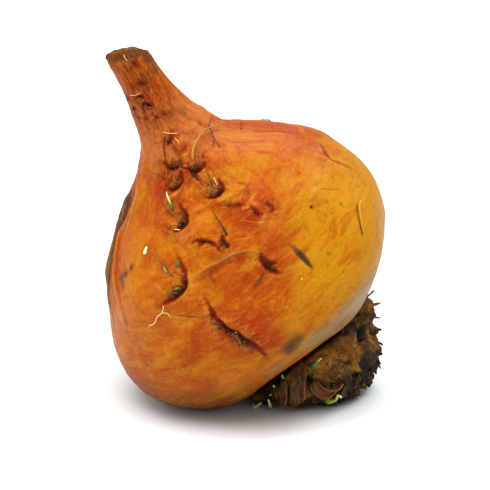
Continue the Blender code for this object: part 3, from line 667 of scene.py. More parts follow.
# gaps start at a distance where nothing is drawn any more
marks.update({name: np.full(len(smooth), gap) for name, gap in (("wallGap", 6.0), ("wallSecond", 9.0))})
marks["wallRun"] = np.zeros(len(smooth))
relief = reliefOf(smooth, along, marks) * smoothStep(-25.0, -22.5, along)
snapped = smoothStep(66.4, 67.6, along)
crumbled = 0.5 * lumps(smooth, 1.6, 5.0) + 0.35 * lumps(smooth, 0.7, 9.0)
relief = relief + snapped * (0.9 * smoothStep(5.0, 1.5, radius) + crumbled)
skinPoints = smooth + pointNormals(skinMesh) * relief[:, None]
setPoints(skinMesh, toTable(skinPoints))


def toneOf(name):
    # a region's strength: overlapping soft spots, each at a place on the skin
    rest = np.ones(len(smooth))
    for spotAround, spotAlong, reach, strength in skinMarks[name]:
        away = np.linalg.norm(smooth - rootAt(spotAround, spotAlong), axis=1)
        rest *= 1.0 - strength * np.exp(-(away / reach) ** 2)
    return 1.0 - rest


# painted shade where the skin lies below its blurred self, painted highlight where it stands above it
wide = blurred(blurred(relief, 5), 5)
fine = blurred(blurred(relief, 1), 2)
hollow = 0.65 * smoothStep(0.05, 0.55, wide - relief) + 0.45 * smoothStep(0.01, 0.12, fine - relief)
crest = 0.2 * smoothStep(0.05, 0.45, relief - wide) + 0.5 * smoothStep(0.01, 0.10, relief - fine)
speck = np.zeros(len(smooth))
for spotAround, spotAlong, size, strength in skinMarks["specks"]:
    away = np.linalg.norm(smooth - rootAt(spotAround, spotAlong), axis=1)
    speck = np.maximum(speck, strength * smoothStep(1.6 * size, 0.5 * size, away))
lens, lensShare = nearest(smooth, layLine(skinMarks["lens"]))
lens = np.abs(lens)
lensWidth = 0.15 + 0.75 * np.sin(np.pi * np.clip(0.05 + 0.95 * lensShare, 0, 1) ** 1.4)
cut = (0.25 + 0.7 * smoothStep(0.15, 0.6, lensShare)) * smoothStep(1.4, 0.5, lens / lensWidth)
tail = smoothStep(63.5, 68.6, along + 3.0 * lumps(smooth, 3.0, 4.0))
# low is painted shade: the skin darkens within 20 mm of the table
paint(
    skinMesh, **{name: toneOf(name) for name in ("gold", "blush", "tan", "rosy", "bark", "bruise")},
    cut=cut, tail=tail, snapped=snapped, neck=smoothStep(20, 40, along), taproot=smoothStep(46, 55, along),
    dirt=smoothStep(-21.0, -25.0, along + 1.6 * lumps(smooth, 2.4, 21.0)),
    low=smoothStep(20.0, 2.0, toTable(smooth)[:, 2] / mm), hollow=hollow, crest=crest, speck=speck, **marks)
mapped = outwardOf(around) * rootForm["meanRadius"]
mapped[:, 2] = along
layer = skinMesh.attributes.new("skinMap", "FLOAT_VECTOR", "POINT")
layer.data.foreach_set("vector", mapped.astype(np.float32).ravel())
print("skin shaped,", len(skinMesh.polygons), "faces")


# Fresh golden beet skin, washed: thin and waxy over wet flesh, so it glows orange and shines softly

skinLook = {
    # the low, hollow, crease and pit-dark tones are painted shade; pit red is red-brown stain with painted
    # shade; the pale pink tone is a painted sheen; crest and bright serve both as painted highlights and as
    # real pale streaks and mottle
    "orange": "#ae5e0a", "deepOrange": "#9a4602", "gold": "#b07a08", "red": "#942e04", "tan": "#887046",
    "rosy": "#b8703c", "bark": "#6a4426", "barkDark": "#3a2417", "bruise": "#48301f", "pitRed": "#742204",
    "pitDark": "#341207", "crest": "#cc8440", "cut": "#46321f", "crease": "#641e06", "dirt": "#4c2f18",
    "dim": "#783a00", "bright": "#c89030", "low": "#743800", "hollow": "#7e2c00", "speck": "#4a2410",
    "tailBrown": "#5c3a1e", "tailRed": "#7c2c0e", "snapped": "#6a4a22", "snappedDark": "#22140c",
    "freckle": "#6a4624",
    # how shiny, and how tall the fine relief is
    "roughness": 0.42, "wrinkleMm": 0.26, "dimpleMm": 0.09, "pleatMm": 1.1, "puckerMm": 0.4, "lineMm": 0.16,
}

shader = newMaterial("freshBeetSkin", {
    "IOR": 1.38, "Specular IOR Level": 0.11, "Coat Roughness": 0.22,
    "Subsurface Weight": 0.12, "Subsurface Radius": (1.0, 0.35, 0.12), "Subsurface Scale": 0.0025,
})
skinMap = layerOf("skinMap", "Vector")      # millimetres round the root and along it
roundStreaks = noiseOf(scaled(skinMap, (0.22, 0.22, 1.0)), 0.42, 5.0, 0.62, 1.2)
thinRoundStreaks = noiseOf(scaled(skinMap, (0.12, 0.12, 1.0)), 1.1, 3.0, 0.6, 0.8)
upStreaks = noiseOf(scaled(skinMap, (1.0, 1.0, 0.18)), 0.45, 5.0, 0.62, 1.0)
mottle = noiseOf(skinMap, 0.09, 5.0, 0.6, 1.0)
fineMottle = noiseOf(skinMap, 0.5, 4.0, 0.6, 0.5)
patches = noiseOf(scaled(skinMap, (0.42, 0.42, 1.0)), 0.13, 6.0, 0.66, 2.0)
fineGrain = noiseOf(scaled(skinMap, (0.6, 0.6, 1.0)), 1.5, 4.0, 0.65, 0.4)
rootBlotches = noiseOf(skinMap, 0.26, 4.0, 0.62, 0.8)
# streaks run round the body and up the neck
streaks = fromParts(
    "ShaderNodeMix", {"data_type": "FLOAT"}, {0: layerOf("neck"), 2: roundStreaks, 3: upStreaks})


def broken(name, low, high, streakShare=0.7):
    # a painted region whose edge breaks up along the streaks
    moved = mathOf("MULTIPLY_ADD", streaks, streakShare, -0.5 * streakShare)
    mottled = mathOf("MULTIPLY_ADD", mottle, 0.5, -0.25)
    return ranged(mathOf("ADD", mathOf("ADD", layerOf(name), moved), mottled), low, high)


def brokenUp(name, share, low, high):
    # a painted mark whose edge breaks up finely
    moved = times(mathOf("SUBTRACT", fineMottle, 0.5), share)
    return ranged(mathOf("ADD", layerOf(name), moved), low, high)


def thinLine(name, halfWidth):
    # a line drawn from its signed distance, finer than the mesh and a little uneven
    wobble = times(mathOf("SUBTRACT", mottle, 0.5), 1.2)
    gap = mathOf("ABSOLUTE", mathOf("ADD", layerOf(name + "Gap"), wobble))
    return times(layerOf(name + "Share"), ranged(gap, halfWidth, 0.3 * halfWidth))


# crease lines are painted shade, crest lines painted highlight
creaseLine, crestLine = thinLine("crease", 0.34), thinLine("crest", 0.28)
# puckers that run out from the foot of each pit's wall
runIn = addNode("ShaderNodeCombineXYZ", {}, {0: layerOf("wallRun"), 1: times(layerOf("wallGap"), 0.22)})
puckers = noiseOf(runIn.outputs[0], 1.25, 3.0, 0.6, 0.6)
wallNear = layerOf("wallNear")
# soft pleats of the skin round the pits, mostly lying round the root
pleats = noiseOf(scaled(skinMap, (0.26, 0.26, 1.0)), 0.5, 3.0, 0.55, 0.9)
pleated = layerOf("pleated")
barkTone = mixed(ranged(upStreaks, 0.40, 0.62), skinLook["barkDark"], skinLook["bark"])
snappedTone = mixed(ranged(fineMottle, 0.42, 0.6), skinLook["snapped"], skinLook["snappedDark"])
tailBroken = mathOf("ADD", layerOf("tail"), mathOf("SUBTRACT", fineMottle, 0.5))

colour = mixed(ranged(mottle, 0.35, 0.68), skinLook["orange"], skinLook["deepOrange"])
# each tone laid over those before it, and the shares that say where and how strongly
for tone, *shares in (
        ("gold", broken("gold", 0.22, 0.8)), ("red", broken("blush", 0.28, 0.95)),
        ("gold", ranged(streaks, 0.53, 0.72), 0.28), ("red", ranged(streaks, 0.47, 0.28), 0.30),
        ("crest", ranged(thinRoundStreaks, 0.54, 0.68), 0.14),
        # painted sheen: pale pink painted highlight where the skin faces the light
        ("rosy", broken("rosy", 0.2, 0.9), 0.7), ("tan", broken("tan", 0.3, 0.85, 0.4)),
        # painted shade, darker near the table
        ("low", broken("low", 0.1, 1.0, 0.5), 0.85),
        ("gold", ranged(patches, 0.51, 0.64), 0.55), ("red", ranged(patches, 0.49, 0.36), 0.45),
        ("dim", ranged(fineGrain, 0.50, 0.34), 0.18), ("bright", ranged(fineGrain, 0.52, 0.68), 0.24),
        ("freckle", ranged(fineMottle, 0.60, 0.72), ranged(mottle, 0.40, 0.62), 0.4),
        ("tailRed", layerOf("taproot"), ranged(rootBlotches, 0.44, 0.60), 0.75),
        ("bruise", broken("bruise", 0.30, 1.0, 0.4)), (barkTone, broken("bark", 0.3, 0.8, 0.9)),
        # a darker brown band where the skin meets the crown
        ("dirt", broken("dirt", 0.2, 1.1, 0.4), 0.8), ("tailBrown", ranged(tailBroken, 0.2, 0.8)),
        # the snapped end's own colour, then painted shade in the hollows of the relief
        (snappedTone, layerOf("snapped")), ("hollow", layerOf("hollow"), 0.62),
        # painted highlight on raised skin, painted shade on the pleats' low sides and painted highlight on
        # their high sides
        ("bright", layerOf("crest"), 0.35), ("red", pleated, ranged(pleats, 0.50, 0.32), 0.62),
        ("crest", pleated, ranged(pleats, 0.53, 0.68), 0.42),
        # painted shade in the low parts of the puckers by each pit's wall, then red-brown stain with painted
        # shade round the pits, folds and ledges
        ("pitRed", wallNear, ranged(puckers, 0.54, 0.36), 0.6),
        ("pitRed", brokenUp("pitRed", 0.6, 0.12, 1.0)),
        # painted highlight along crests and painted shade along creases, real dark specks, painted shade at
        # the foot of the pit walls, and the dark cut
        ("crest", crestLine, 0.7), ("crease", creaseLine), ("speck", layerOf("speck"), 0.8),
        ("pitDark", brokenUp("pitDark", 0.9, 0.1, 0.95)), ("cut", layerOf("cut"))):
    colour = mixed(times(*shares), colour, skinLook[tone] if isinstance(tone, str) else tone)
feed(shader.inputs["Base Color"], colour)

# wrinkles about 1 mm apart round the root, and a finer dimpling of half a millimetre
wrinkles = noiseOf(scaled(skinMap, (0.22, 0.22, 1.0)), 0.9, 4.0, 0.6, 0.4)
height = times(wrinkles, skinLook["wrinkleMm"])
for layer, tall in (
        (noiseOf(skinMap, 1.6, 3.0, 0.6), skinLook["dimpleMm"]),
        (mathOf("SUBTRACT", crestLine, creaseLine), skinLook["lineMm"]),
        (times(pleats, pleated), skinLook["pleatMm"]), (times(puckers, wallNear), skinLook["puckerMm"])):
    height = mathOf("ADD", height, times(layer, tall))
feed(shader.inputs["Normal"], bumped(height, 1.0, mm))
dull = mathOf("ADD", layerOf("pitDark"), layerOf("bark"))
gloss = ranged(fineMottle, 0.3, 0.7, skinLook["roughness"] - 0.06, skinLook["roughness"] + 0.08)
feed(shader.inputs["Roughness"], mathOf("ADD", gloss, times(dull, 0.35)))
# a film of wax and water, broken up along the streaks
feed(shader.inputs["Coat Weight"], ranged(roundStreaks, 0.42, 0.62, 0.0, 0.09))
addPiece("beetSkin", skinMesh, "freshBeetSkin", "beet_skin", "root")
print("skin dressed")


# Threads, hairs and sprouts are tapered round strands

def onSkin(rows):
    # (round, along, lift) rows to points of the root's own frame, just off the finished skin
    rows = np.asarray(rows, float)
    base = rootAt(rows[:, 0], rows[:, 1])
    out = rootWays(rows[:, 0], rows[:, 1])[2]
    return base + out * (rows[:, 2] + reliefOf(base, rows[:, 1]))[:, None]


def strandMesh(name, strands, sides=6):
    # each strand is its points in metres, its radii in metres and its tones
    points, faces, tones = [], [], []
    for line, radii, tone in strands:
        ahead = unit(np.gradient(line, axis=0))
        side = unit(np.cross(ahead, (0.31, 0.17, 0.93)))
        other = np.cross(ahead, side)
        turn = np.arange(sides) * 2 * math.pi / sides
        rings = line[:, None] + radii[:, None, None] * (
            np.cos(turn)[None, :, None] * side[:, None] + np.sin(turn)[None, :, None] * other[:, None])
        first = sum(len(block) for block in points)
        points.append(rings.reshape(-1, 3))
        tones.append(np.repeat(tone, sides))
        for step in range(len(line) - 1):
            low = first + step * sides
            for corner in range(sides):
                near = (corner + 1) % sides
                faces.append((low + corner, low + near, low + sides + near, low + sides + corner))
        faces.append(tuple(range(first + sides - 1, first - 1, -1)))
        last = first + (len(line) - 1) * sides
        faces.append(tuple(range(last, last + sides)))
    mesh = meshOf(name, np.vstack(points), faces)
    paint(mesh, tone=np.concatenate(tones))
    return mesh


def strandOn(rows, thick, thin, tones, count=14):
    # a thread root over the skin: mm thick at its foot and at its tip, and the tones of both
    line = softLine(onSkin(rows), count)
    share = np.linspace(0, 1, count + 1)
    radii = 0.5 * threads["thickness"] * (thick + (thin - thick) * share) * mm
    return heldUp(toTable(line), radii), radii, tones[0] + (tones[1] - tones[0]) * share


# tone 0 is a dead dark thread, 0.5 tan, 0.75 yellow and 1 cream
threads = {
    "thickness": 0.52,
    # thick, thin, tone at the foot and tip, and the (round, along, lift) rows
    "seen": [
        (0.9, 0.9, 0, 0, [(23.6, 15.2, 0), (24, 15.3, 0.1), (24.4, 15.4, 0)]),
        (0.5, 0.3, 0.85, 0.9, [(-33, 69, 0.2), (-33, 68, 0.6), (-25, 67, 0.7), (-20, 66.4, 0.4)]),
        (0.45, 0.3, 0.75, 0.85, [(-31, 58.7, -0.2), (-40, 58.9, 0.8), (-52, 59.5, 0.9)]),
        (0.4, 0.3, 0.3, 0.6, [(-32, 55.7, 0.5), (-30, 54.8, 0.4), (-24, 54.2, 0.7)]),
        (0.5, 0.3, 0.8, 0.9, [(-26, 47.2, -0.2), (-22, 47, 0.9), (-16.8, 46.2, 1.1), (-6.2, 45, 1.3)]),
        (0.7, 0.4, 0.1, 0.2, [
            (-26.4, 46.3, -0.2), (-33, 44.4, 0.6), (-34, 42.6, 0.6), (-33.5, 40.2, 0.7),
            (-31.8, 38.4, 0.4)]),
        (0.5, 0.3, 0.2, 0.5, [(-20.4, 44.4, -0.1), (-18.7, 42.5, 0.6), (-14, 40.2, 0.7), (-6.4, 38.1, 0.3)]),
        (0.5, 0.3, 0.3, 0.5, [(-14, 40.2, 0.6), (-16.9, 38.7, 0.6), (-21.2, 38, 0.2)]),
        (0.7, 0.5, 0.7, 0.75, [(-13, 44.5, 0.3), (-11, 43.7, 0.7), (-9.4, 42.9, 0.4)]),
        (1.6, 0.5, 0.6, 0.5, [
            (-1.8, 38.2, -0.8), (-0.5, 39.1, 0.8), (5.6, 40.2, 1.5), (18.9, 40.8, 1.8), (28.7, 41, 1.6),
            (38, 40.2, 1.3), (52.3, 38.5, 0.8)]),
        (0.35, 0.25, 0.15, 0.2, [(22, 37.1, -0.2), (32.7, 38.6, 0.9), (36, 40.9, 1.3), (53.7, 41.3, 2)]),
        (0.5, 0.4, 0.1, 0.15, [(33.4, 39.4, 1.1), (36.4, 41, 1.5), (50, 41.4, 2)]),
        (0.45, 0.3, 0.1, 0.1, [(27.7, 36.2, -0.2), (28.9, 36.8, 0.7), (30.8, 38.7, 0.9), (33.5, 39.6, 1.1)]),
        (0.5, 0.3, 0.4, 0.55, [(3, 37, 0), (8, 37.8, 0.7), (13, 38, 0.9), (22.9, 37.5, 0.6)]),
        (0.6, 0.3, 0.15, 0.3, [
            (-7.2, 36.7, 0.1), (-6.9, 35.4, 0.7), (-4.8, 34.2, 0.9), (-1.9, 32.4, 0.8), (-0.7, 31.4, 0.6)]),
        (0.5, 0.25, 0.1, 0.15, [
            (-36.5, 37.9, -0.2), (-41, 38.8, 0.6), (-48, 39.7, 0.9), (-57, 40.4, 1.2), (-64, 40.8, 1.4)]),
        (0.5, 0.3, 0.2, 0.4, [(-26, 36.6, -0.2), (-22, 37, 0.7), (-19, 37.5, 0.9), (-17.3, 38.5, 0.7)]),
        (0.9, 0.4, 0.3, 0.35, [(-0.7, 32.1, -0.4), (1.2, 33.2, 0.8), (2.6, 34.1, 1), (6.8, 34.7, 1.2)]),
        (0.35, 0.2, 0.9, 1, [(1.8, 31.5, 0.5), (3.4, 32.7, 1.2)]),
        (0.5, 0.3, 0.05, 0.1, [(63, 34.2, 0), (67, 34.3, 0.9), (71, 34.4, 1.2)]),
        (0.35, 0.2, 0.2, 0.3, [(12, 29.4, 0.2), (13.9, 28.1, 0.5), (12.4, 27.2, 0.5), (11.1, 26.6, 0.2)]),
        (0.5, 0.3, 0.2, 0.35, [
            (-32.4, 31.4, 0), (-35.9, 32.9, 0.6), (-39.3, 34.9, 0.9), (-43.3, 36.5, 1.2)]),
        (0.5, 0.4, 1, 1, [(-33.4, 29.3, 0.5), (-32, 29, 0.8), (-30.4, 28.7, 0.5)]),
        (0.9, 0.4, 0.05, 0.15, [(-9.9, 22.6, -0.4), (-9.4, 24.9, 0.9), (-9.5, 26.6, 1.2), (-9.1, 28.1, 1.5)]),
        (1.1, 0.7, 0.05, 0.1, [(-9.7, 23.4, 0.7), (-9.4, 24.4, 1), (-9.5, 25.2, 1.1)]),
        (0.45, 0.3, 0.1, 0.15, [
            (-12.5, 23.4, 0.3), (-13.4, 22.3, 0.6), (-13.2, 21.2, 0.3), (-11, 21.6, 0.4)]),
        (0.5, 0.3, 0.1, 0.4, [
            (-38.5, 20.5, -1.2), (-40.8, 22.3, 0.6), (-43.2, 24.5, 0.9), (-47.6, 26.2, 1.2)]),
        (0.5, 0.25, 0.3, 0.4, [(-42, 22.2, -0.4), (-44, 24.6, 0.6), (-45.6, 26.4, 0.9), (-46.8, 27.9, 1.2)]),
        (0.55, 0.4, 0.85, 0.95, [
            (-57.6, 13.7, 0.3), (-53.8, 14.1, 0.4), (-51.4, 15.3, 0.5), (-48.7, 15.8, 0.5),
            (-47.6, 17, 0.4)]),
        (0.4, 0.3, 0.85, 0.9, [(-48.7, 15.8, 0.5), (-46.7, 15.2, 0.5), (-46.1, 14.1, 0.3)]),
        (0.5, 1, 0.3, 0.34, [(-12.8, 10.7, 0.2), (-11, 11, 0.35), (-9.8, 11.3, 0.4)]),
        (1, 0.4, 0.34, 0.25, [(-9.8, 11.3, 0.4), (-8.4, 11.6, 0.35), (-6.8, 11.9, 0.2)]),
        (0.6, 0.4, 0.55, 0.8, [(32.2, 1.2, 0.3), (35, 4, 0.7), (38.5, 5.7, 0.7), (41.5, 6.2, 0.5)]),
        (0.4, 0.3, 0.1, 0.3, [(31.6, 1, 0.1), (33.8, 3.4, 0.15), (37, 5.6, 0.15), (39.6, 6.4, 0.1)]),
        (0.3, 0.2, 0.6, 0.8, [(-80, 36.5, 0.1), (-78, 34, 0.5), (-80, 31, 0.2)]),
    ],
    # the short hairs round the pits: thickness, lift off the skin and tones
    "hairThick": (0.22, 0.44), "hairLift": (0.1, 0.7), "hairTones": (0.0, 0.1, 0.15, 0.2, 0.3, 0.35, 0.45),
    "seed": 41,
}

draw = random.Random(threads["seed"])
strands = [strandOn(rows, thick, thin, (foot, tip)) for thick, thin, foot, tip, rows in threads["seen"]]


def hairFrom(around, along, length, heading, lift, thick, tone, curl):
    # a short hair that sets off over the skin at this heading and curls as it goes
    degree = degreeMm(along)
    rows = [(around, along, -0.3)]
    reach = length / 5
    for step in range(5):
        around += reach * math.cos(heading) / degree
        along += reach * math.sin(heading) * 0.75
        heading += curl
        rows.append((around, along, lift * (0.4 + 0.6 * draw.random())))
    return strandOn(rows, thick, 0.5 * thick, (tone, min(1.0, tone + 0.2)), 10)


for depth, reach, dark, count, length, line in skinMarks["clefts"]:
    rows = softLine(line, 30)
    tangents = np.gradient(rows, axis=0)
    for hair in range(count):
        index = draw.randint(5, 25)
        hairAround, hairAlong = rows[index]
        degree = degreeMm(hairAlong)
        heading = math.atan2(-tangents[index][0] * degree, tangents[index][1])      # over the gentle side
        inwards = draw.uniform(-0.1, 0.2) * reach
        strands.append(hairFrom(
            hairAround + inwards * math.cos(heading) / degree, hairAlong + inwards * math.sin(heading),
            length * draw.uniform(0.3, 1.0), heading + draw.gauss(0, 0.7), draw.uniform(*threads["hairLift"]),
            draw.uniform(*threads["hairThick"]), draw.choice(threads["hairTones"]), draw.gauss(0, 0.2)))

# Thread roots are dry cellulose, matt: dead ones dark brown, live ones cream
threadLook = {
    "dead": "#2a1409", "live": "#f0dcb4", "between": ((0.3, "#5a3014"), (0.5, "#a06c34"), (0.72, "#d09a2e")),
    "roughness": 0.65,
}
shader = newMaterial("dryThreadRoot", {"Roughness": threadLook["roughness"]})
feed(shader.inputs["Base Color"], rampOf(
    layerOf("tone"), threadLook["dead"], threadLook["live"], threadLook["between"]))
addPiece("threadRoots", strandMesh("threadRoots", strands), "dryThreadRoot", "beet_skin")
print("thread roots laid,", len(strands))


# The crown: a stump of dead leaf bases

crownForm = {
    "middle": (-2.2, -3.4), "leanX": 0.12, "leanY": -0.12, "seat": -25.9,
    "outline": [
        (0, 0), (0, 10), (0.2, 18.5), (2.5, 21.2), (8, 19.6), (13, 16.9), (17.5, 13.4), (21, 9.6),
        (22.5, 6.4), (21.4, 3), (20.6, 0),
    ],
    "leafBases": 11, "rib": 1.1, "scaleLength": 5.2, "scale": 1.7, "lumps": [(6.5, 1.3), (2.8, 0.7)],
    "pits": [
        (34, 4.5, 3.6, 2.6), (4, 9, 3, 1.4), (-66, 10, 3.2, 1.8), (110, 9, 3.6, 2), (165, 14, 3.4, 1.8),
        (222, 7, 3.8, 2.2), (270, 15, 3.2, 1.6), (68, 2.4, 6, -3.2), (20, 20.8, 10, 3.4),
    ],
    "give": 3.0,      # below this height over the table the soft stump is pressed flat
    "pitRound": 20.0, "toneRound": 19.0,      # radii that turn degrees round the stump into millimetres
    "meridians": 300, "rings": 150, "crowding": 0.0,
}


def crownSpots(around, reach, radius):
    around, reach, radius = (np.asarray(values, float) for values in (around, reach, radius))
    spots = outwardOf(around) * radius[..., None]
    lift = shoulderLift(around) * smoothStep(14, 21, radius) * smoothStep(9, 1, reach)
    spots[..., 0] += crownForm["middle"][0] + crownForm["leanX"] * reach
    spots[..., 1] += crownForm["middle"][1] + crownForm["leanY"] * reach
    spots[..., 2] = crownForm["seat"] - reach + lift
    return spots


crownSide = curveThrough(crownForm["outline"][1:9])


def crownRelief(points, around, reach):
    turn = crownForm["leafBases"] * np.radians(around + 3.0 * np.sin(0.4 * reach))
    scale = (reach + 1.5 * np.sin(1.3 * turn)) / crownForm["scaleLength"] % 1.0
    relief = crownForm["rib"] * (np.abs(np.cos(0.5 * turn)) - 0.5) + crownForm["scale"] * (scale - 0.5)
    for size, height in crownForm["lumps"]:
        relief = relief + height * lumps(points, size)
    for pitAround, pitReach, pitRadius, depth in crownForm["pits"]:
        aside = np.radians(turnedBy(around, pitAround)) * crownForm["pitRound"]
        relief = relief - depth * smoothStep(pitRadius, 0.0, np.hypot(aside, reach - pitReach))
    return relief * smoothStep(0.2, 3.0, reach)


def crownSurface(around, reach):
    return crownSpots(around, reach, np.interp(reach, crownSide[:, 0], crownSide[:, 1]))


def crownAt(around, reach):
    # the point of the stump's side, the way out of it, and the ways round and down it
    around, reach = (np.atleast_1d(np.asarray(values, float)) for values in (around, reach))
    base = crownSurface(around, reach)
    down = unit(crownSurface(around, reach + 1) - base)
    out = outwardOf(around)
    out = unit(out - down * (out * down).sum(axis=1, keepdims=True))
    return base + out * crownRelief(base, around, reach)[:, None], out, np.cross(out, down), down


def crownPlace(around, reach):
    # the same for one place
    return (part[0] for part in crownAt(around, reach))


# tones at places of the crown: (round, reach, size in mm, strength)
crownTones = {
    "ochre": [
        (-8, 2.2, 5, 1), (3, 2.6, 5, 0.9), (14, 3.6, 4, 0.6), (23, 5, 4, 0.9), (66, 1.6, 4.5, 0.7),
        (-2, 6.6, 3, 0.5), (60, 7, 3, 0.4), (130, 6, 6, 0.6), (210, 9, 6, 0.6), (280, 4, 5, 0.5)],
    "grey": [
        (36, 10, 4.6, 1), (28, 1.5, 4, 0.7), (52, 12, 4, 0.4), (170, 12, 6, 0.6), (-60, 10, 5, 0.4)],
    # deep holes, painted near black as shade
    "hole": [
        (42, 4.2, 3.6, 1), (-24, 8.4, 2.6, 0.6), (0, 10.5, 3, 0.7), (-60, 2, 3, 0.6), (190, 3, 3, 0.7)],
}


def crownToneOf(name, around, reach):
    rest = np.ones(np.shape(around))
    for spotAround, spotReach, size, strength in crownTones[name]:
        aside = np.radians(turnedBy(np.asarray(around), spotAround)) * crownForm["toneRound"]
        away = np.hypot(aside, np.asarray(reach) - spotReach)
        rest = rest * (1.0 - strength * smoothStep(size, 0.25 * size, away))
    return 1.0 - rest


def paintCrown(mesh, points, around, reach, shift=0.0):
    tone = 0.56 + 0.30 * lumps(points, 5.0, 8.0) + 0.22 * lumps(points, 2.0, 5.0)
    tone = tone - 0.16 * smoothStep(7.0, 15.0, reach)      # darker towards the rim
    paint(mesh, tone=np.clip(tone + shift, 0, 1),
          **{name: crownToneOf(name, around, reach) for name in ("ochre", "grey", "hole")})


crownMesh, smoothCrown, around, reach = turnedForm(
    "leafCrown", crownForm, crownSpots, lambda row: np.where(row[:, 0] < 0.15, 0.3, 1.0))[:4]
ochreHere, greyHere = crownToneOf("ochre", around, reach), crownToneOf("grey", around, reach)
# crusty folds along the leaf bases
crust = (0.9 * (0.45 - np.abs(lumps(smoothCrown, 2.4, 3.0, (1, 1, 0.45)))) * 2
         + 0.55 * (0.45 - np.abs(lumps(smoothCrown, 1.2, 6.0))) * 2)
crust = crust + 0.25 * lumps(smoothCrown, 0.7, 9.0) - 0.75
relief = crownRelief(smoothCrown, around, reach)
relief = relief + (crust * (1.0 - 0.6 * ochreHere) + 1.3 * greyHere) * smoothStep(0.2, 2.0, reach)
relief = relief - 1.4 * crownToneOf("hole", around, reach)
setPoints(crownMesh, toTable(smoothCrown + pointNormals(crownMesh) * relief[:, None], crownForm["give"]))
# the tone follows the crust: painted shade in its hollows, painted light on its ridges
paintCrown(crownMesh, smoothCrown, around, reach, 0.22 * crust)
print("crown shaped,", len(crownMesh.polygons), "faces")

# Dead leaf bases: soft brown rot that dried to crust, dark and matt with a few moist ochre places
rotLook = {
    "dark": "#140c08", "pale": "#a88232",
    "between": ((0.36, "#1c100a"), (0.48, "#3e2611"), (0.58, "#634219"), (0.70, "#8a6520")),
    # the near-black tones are painted shade: in the low parts of the grain and in the deep holes
    "ochre": "#9a6c14", "ochreDark": "#7c4410", "grey": "#5f4c34", "black": "#120a06", "hole": "#090504",
    "grainMm": 0.35,
}
shader = newMaterial("driedLeafRot", {"Specular IOR Level": 0.25})
inMm = scaled(addNode("ShaderNodeTexCoord").outputs["Object"], (1000, 1000, 1000))
patchy = noiseOf(inMm, 0.25, 5.0, 0.65, 1.2)
grain = noiseOf(inMm, 1.1, 4.0, 0.65, 0.6)
tone = mathOf("ADD", times(layerOf("tone"), 0.75), times(mathOf("SUBTRACT", patchy, 0.2), 0.4))
colour = rampOf(tone, rotLook["dark"], rotLook["pale"], rotLook["between"])
ochre = mixed(ranged(patchy, 0.40, 0.60), rotLook["ochre"], rotLook["ochreDark"])
for tone, *shares in (
        (ochre, layerOf("ochre"), ranged(grain, 0.30, 0.48)),
        (rotLook["grey"], layerOf("grey"), ranged(grain, 0.34, 0.60), 0.7),
        # painted shade in the low parts of the grain and in the deep holes
        (rotLook["black"], ranged(grain, 0.48, 0.32), 0.6), (rotLook["hole"], layerOf("hole"))):
    colour = mixed(times(*shares), colour, tone)
feed(shader.inputs["Base Color"], colour)
feed(shader.inputs["Normal"], bumped(grain, 0.9, rotLook["grainMm"] * mm))
feed(shader.inputs["Roughness"], ranged(patchy, 0.35, 0.6, 0.45, 0.85))
addPiece("leafCrown", crownMesh, "driedLeafRot", "dead_leaf_base", "leaf_crown")


# Torn scraps of leaf base on the stump: broad flaps that lie close, then small shreds

scraps = {
    "rows": (2.2, 6.4, 10.8, 15.0, 19.0), "perRow": 8, "flapSize": (3.5, 6.5),
    "small": 260, "smallLength": (1.2, 3.2), "smallWidth": (0.4, 1.8),
    "fibres": 240, "fibreLength": (1.5, 5.0), "fibreThick": (0.07, 0.18),
    "fibreTones": (0.0, 0.1, 0.2, 0.3, 0.35, 0.5),
    "seed": 17,
    # shreds where the crown meets the shoulder, and the frayed edge at the lower right:
    # round, reach, length, width, rise, turn
    "shreds": [
        (76, 0.6, 2.6, 0.8, 0.3, -1.9), (72, 0.7, 2.2, 0.6, 1.4, -0.9), (68, 1.4, 2.4, 0.5, 1.6, 0.2),
        (66, 3, 2.6, 0.9, 0.6, 0.9), (78, 1.8, 2.4, 0.7, 0.9, 0.5), (62, 8.6, 1.8, 0.9, 0.8, 0.4),
        (60, 12, 1.6, 0.7, 0.8, -0.4), (58, 14.6, 1.8, 0.9, 0.7, 0.2), (57, 16, 3, 1.1, 0.3, 0),
        (55, 17, 3.6, 1.2, 0.2, 0.1), (50, 18, 2.4, 1.1, 0.3, 0.3), (64, 5.6, 1.6, 0.8, 0.8, 0.3),
    ],
}
draw = random.Random(scraps["seed"])
scrapPoints, scrapFaces, scrapPlaces = [], [], []


def addScrap(around, reach, length, width, lift, rise, turn, across, steps, ragged):
    # one torn bit: a strip rooted at a place of the stump, its free end standing off
    base, out, sideways, down = crownPlace(around, reach)
    ahead = math.cos(turn) * down + math.sin(turn) * sideways
    flat = np.cross(out, ahead)
    first = len(scrapPoints)
    twist, cup, phase = draw.gauss(0, 0.25), draw.uniform(-0.12, 0.15), draw.uniform(0, 6.3)
    ends = [1.0 - ragged * draw.random() for column in range(across + 1)]
    for step in range(steps + 1):
        share = step / steps
        narrow = width * (1.0 - 0.6 * share ** 1.5)
        for column in range(across + 1):
            side = column / across - 0.5
            go = share * length * ends[column]
            lifted = lift + rise * share ** 1.6 * length
            lifted += cup * width * (2 * side) ** 2 + twist * side * share * width
            wave = 0.22 * math.sin(5.0 * share + 9.0 * side + phase)
            scrapPoints.append(base + ahead * go + flat * side * narrow + out * (lifted + wave))
            scrapPlaces.append((around, reach + go))
    scrapFaces.extend(gridFaces(steps, across, first))


def openPlace(around, reach):
    # the black hollow, the smooth ochre leaf base and the strap's bed stay bare
    turned = (around + 180) % 360 - 180
    hollow = 30 < turned < 60 and 2 < reach < 9
    smoothBase = -13 < turned < 14 and reach < 5.5
    strapBed = -42 < turned < -11 and reach < 8
    return hollow or smoothBase or strapBed


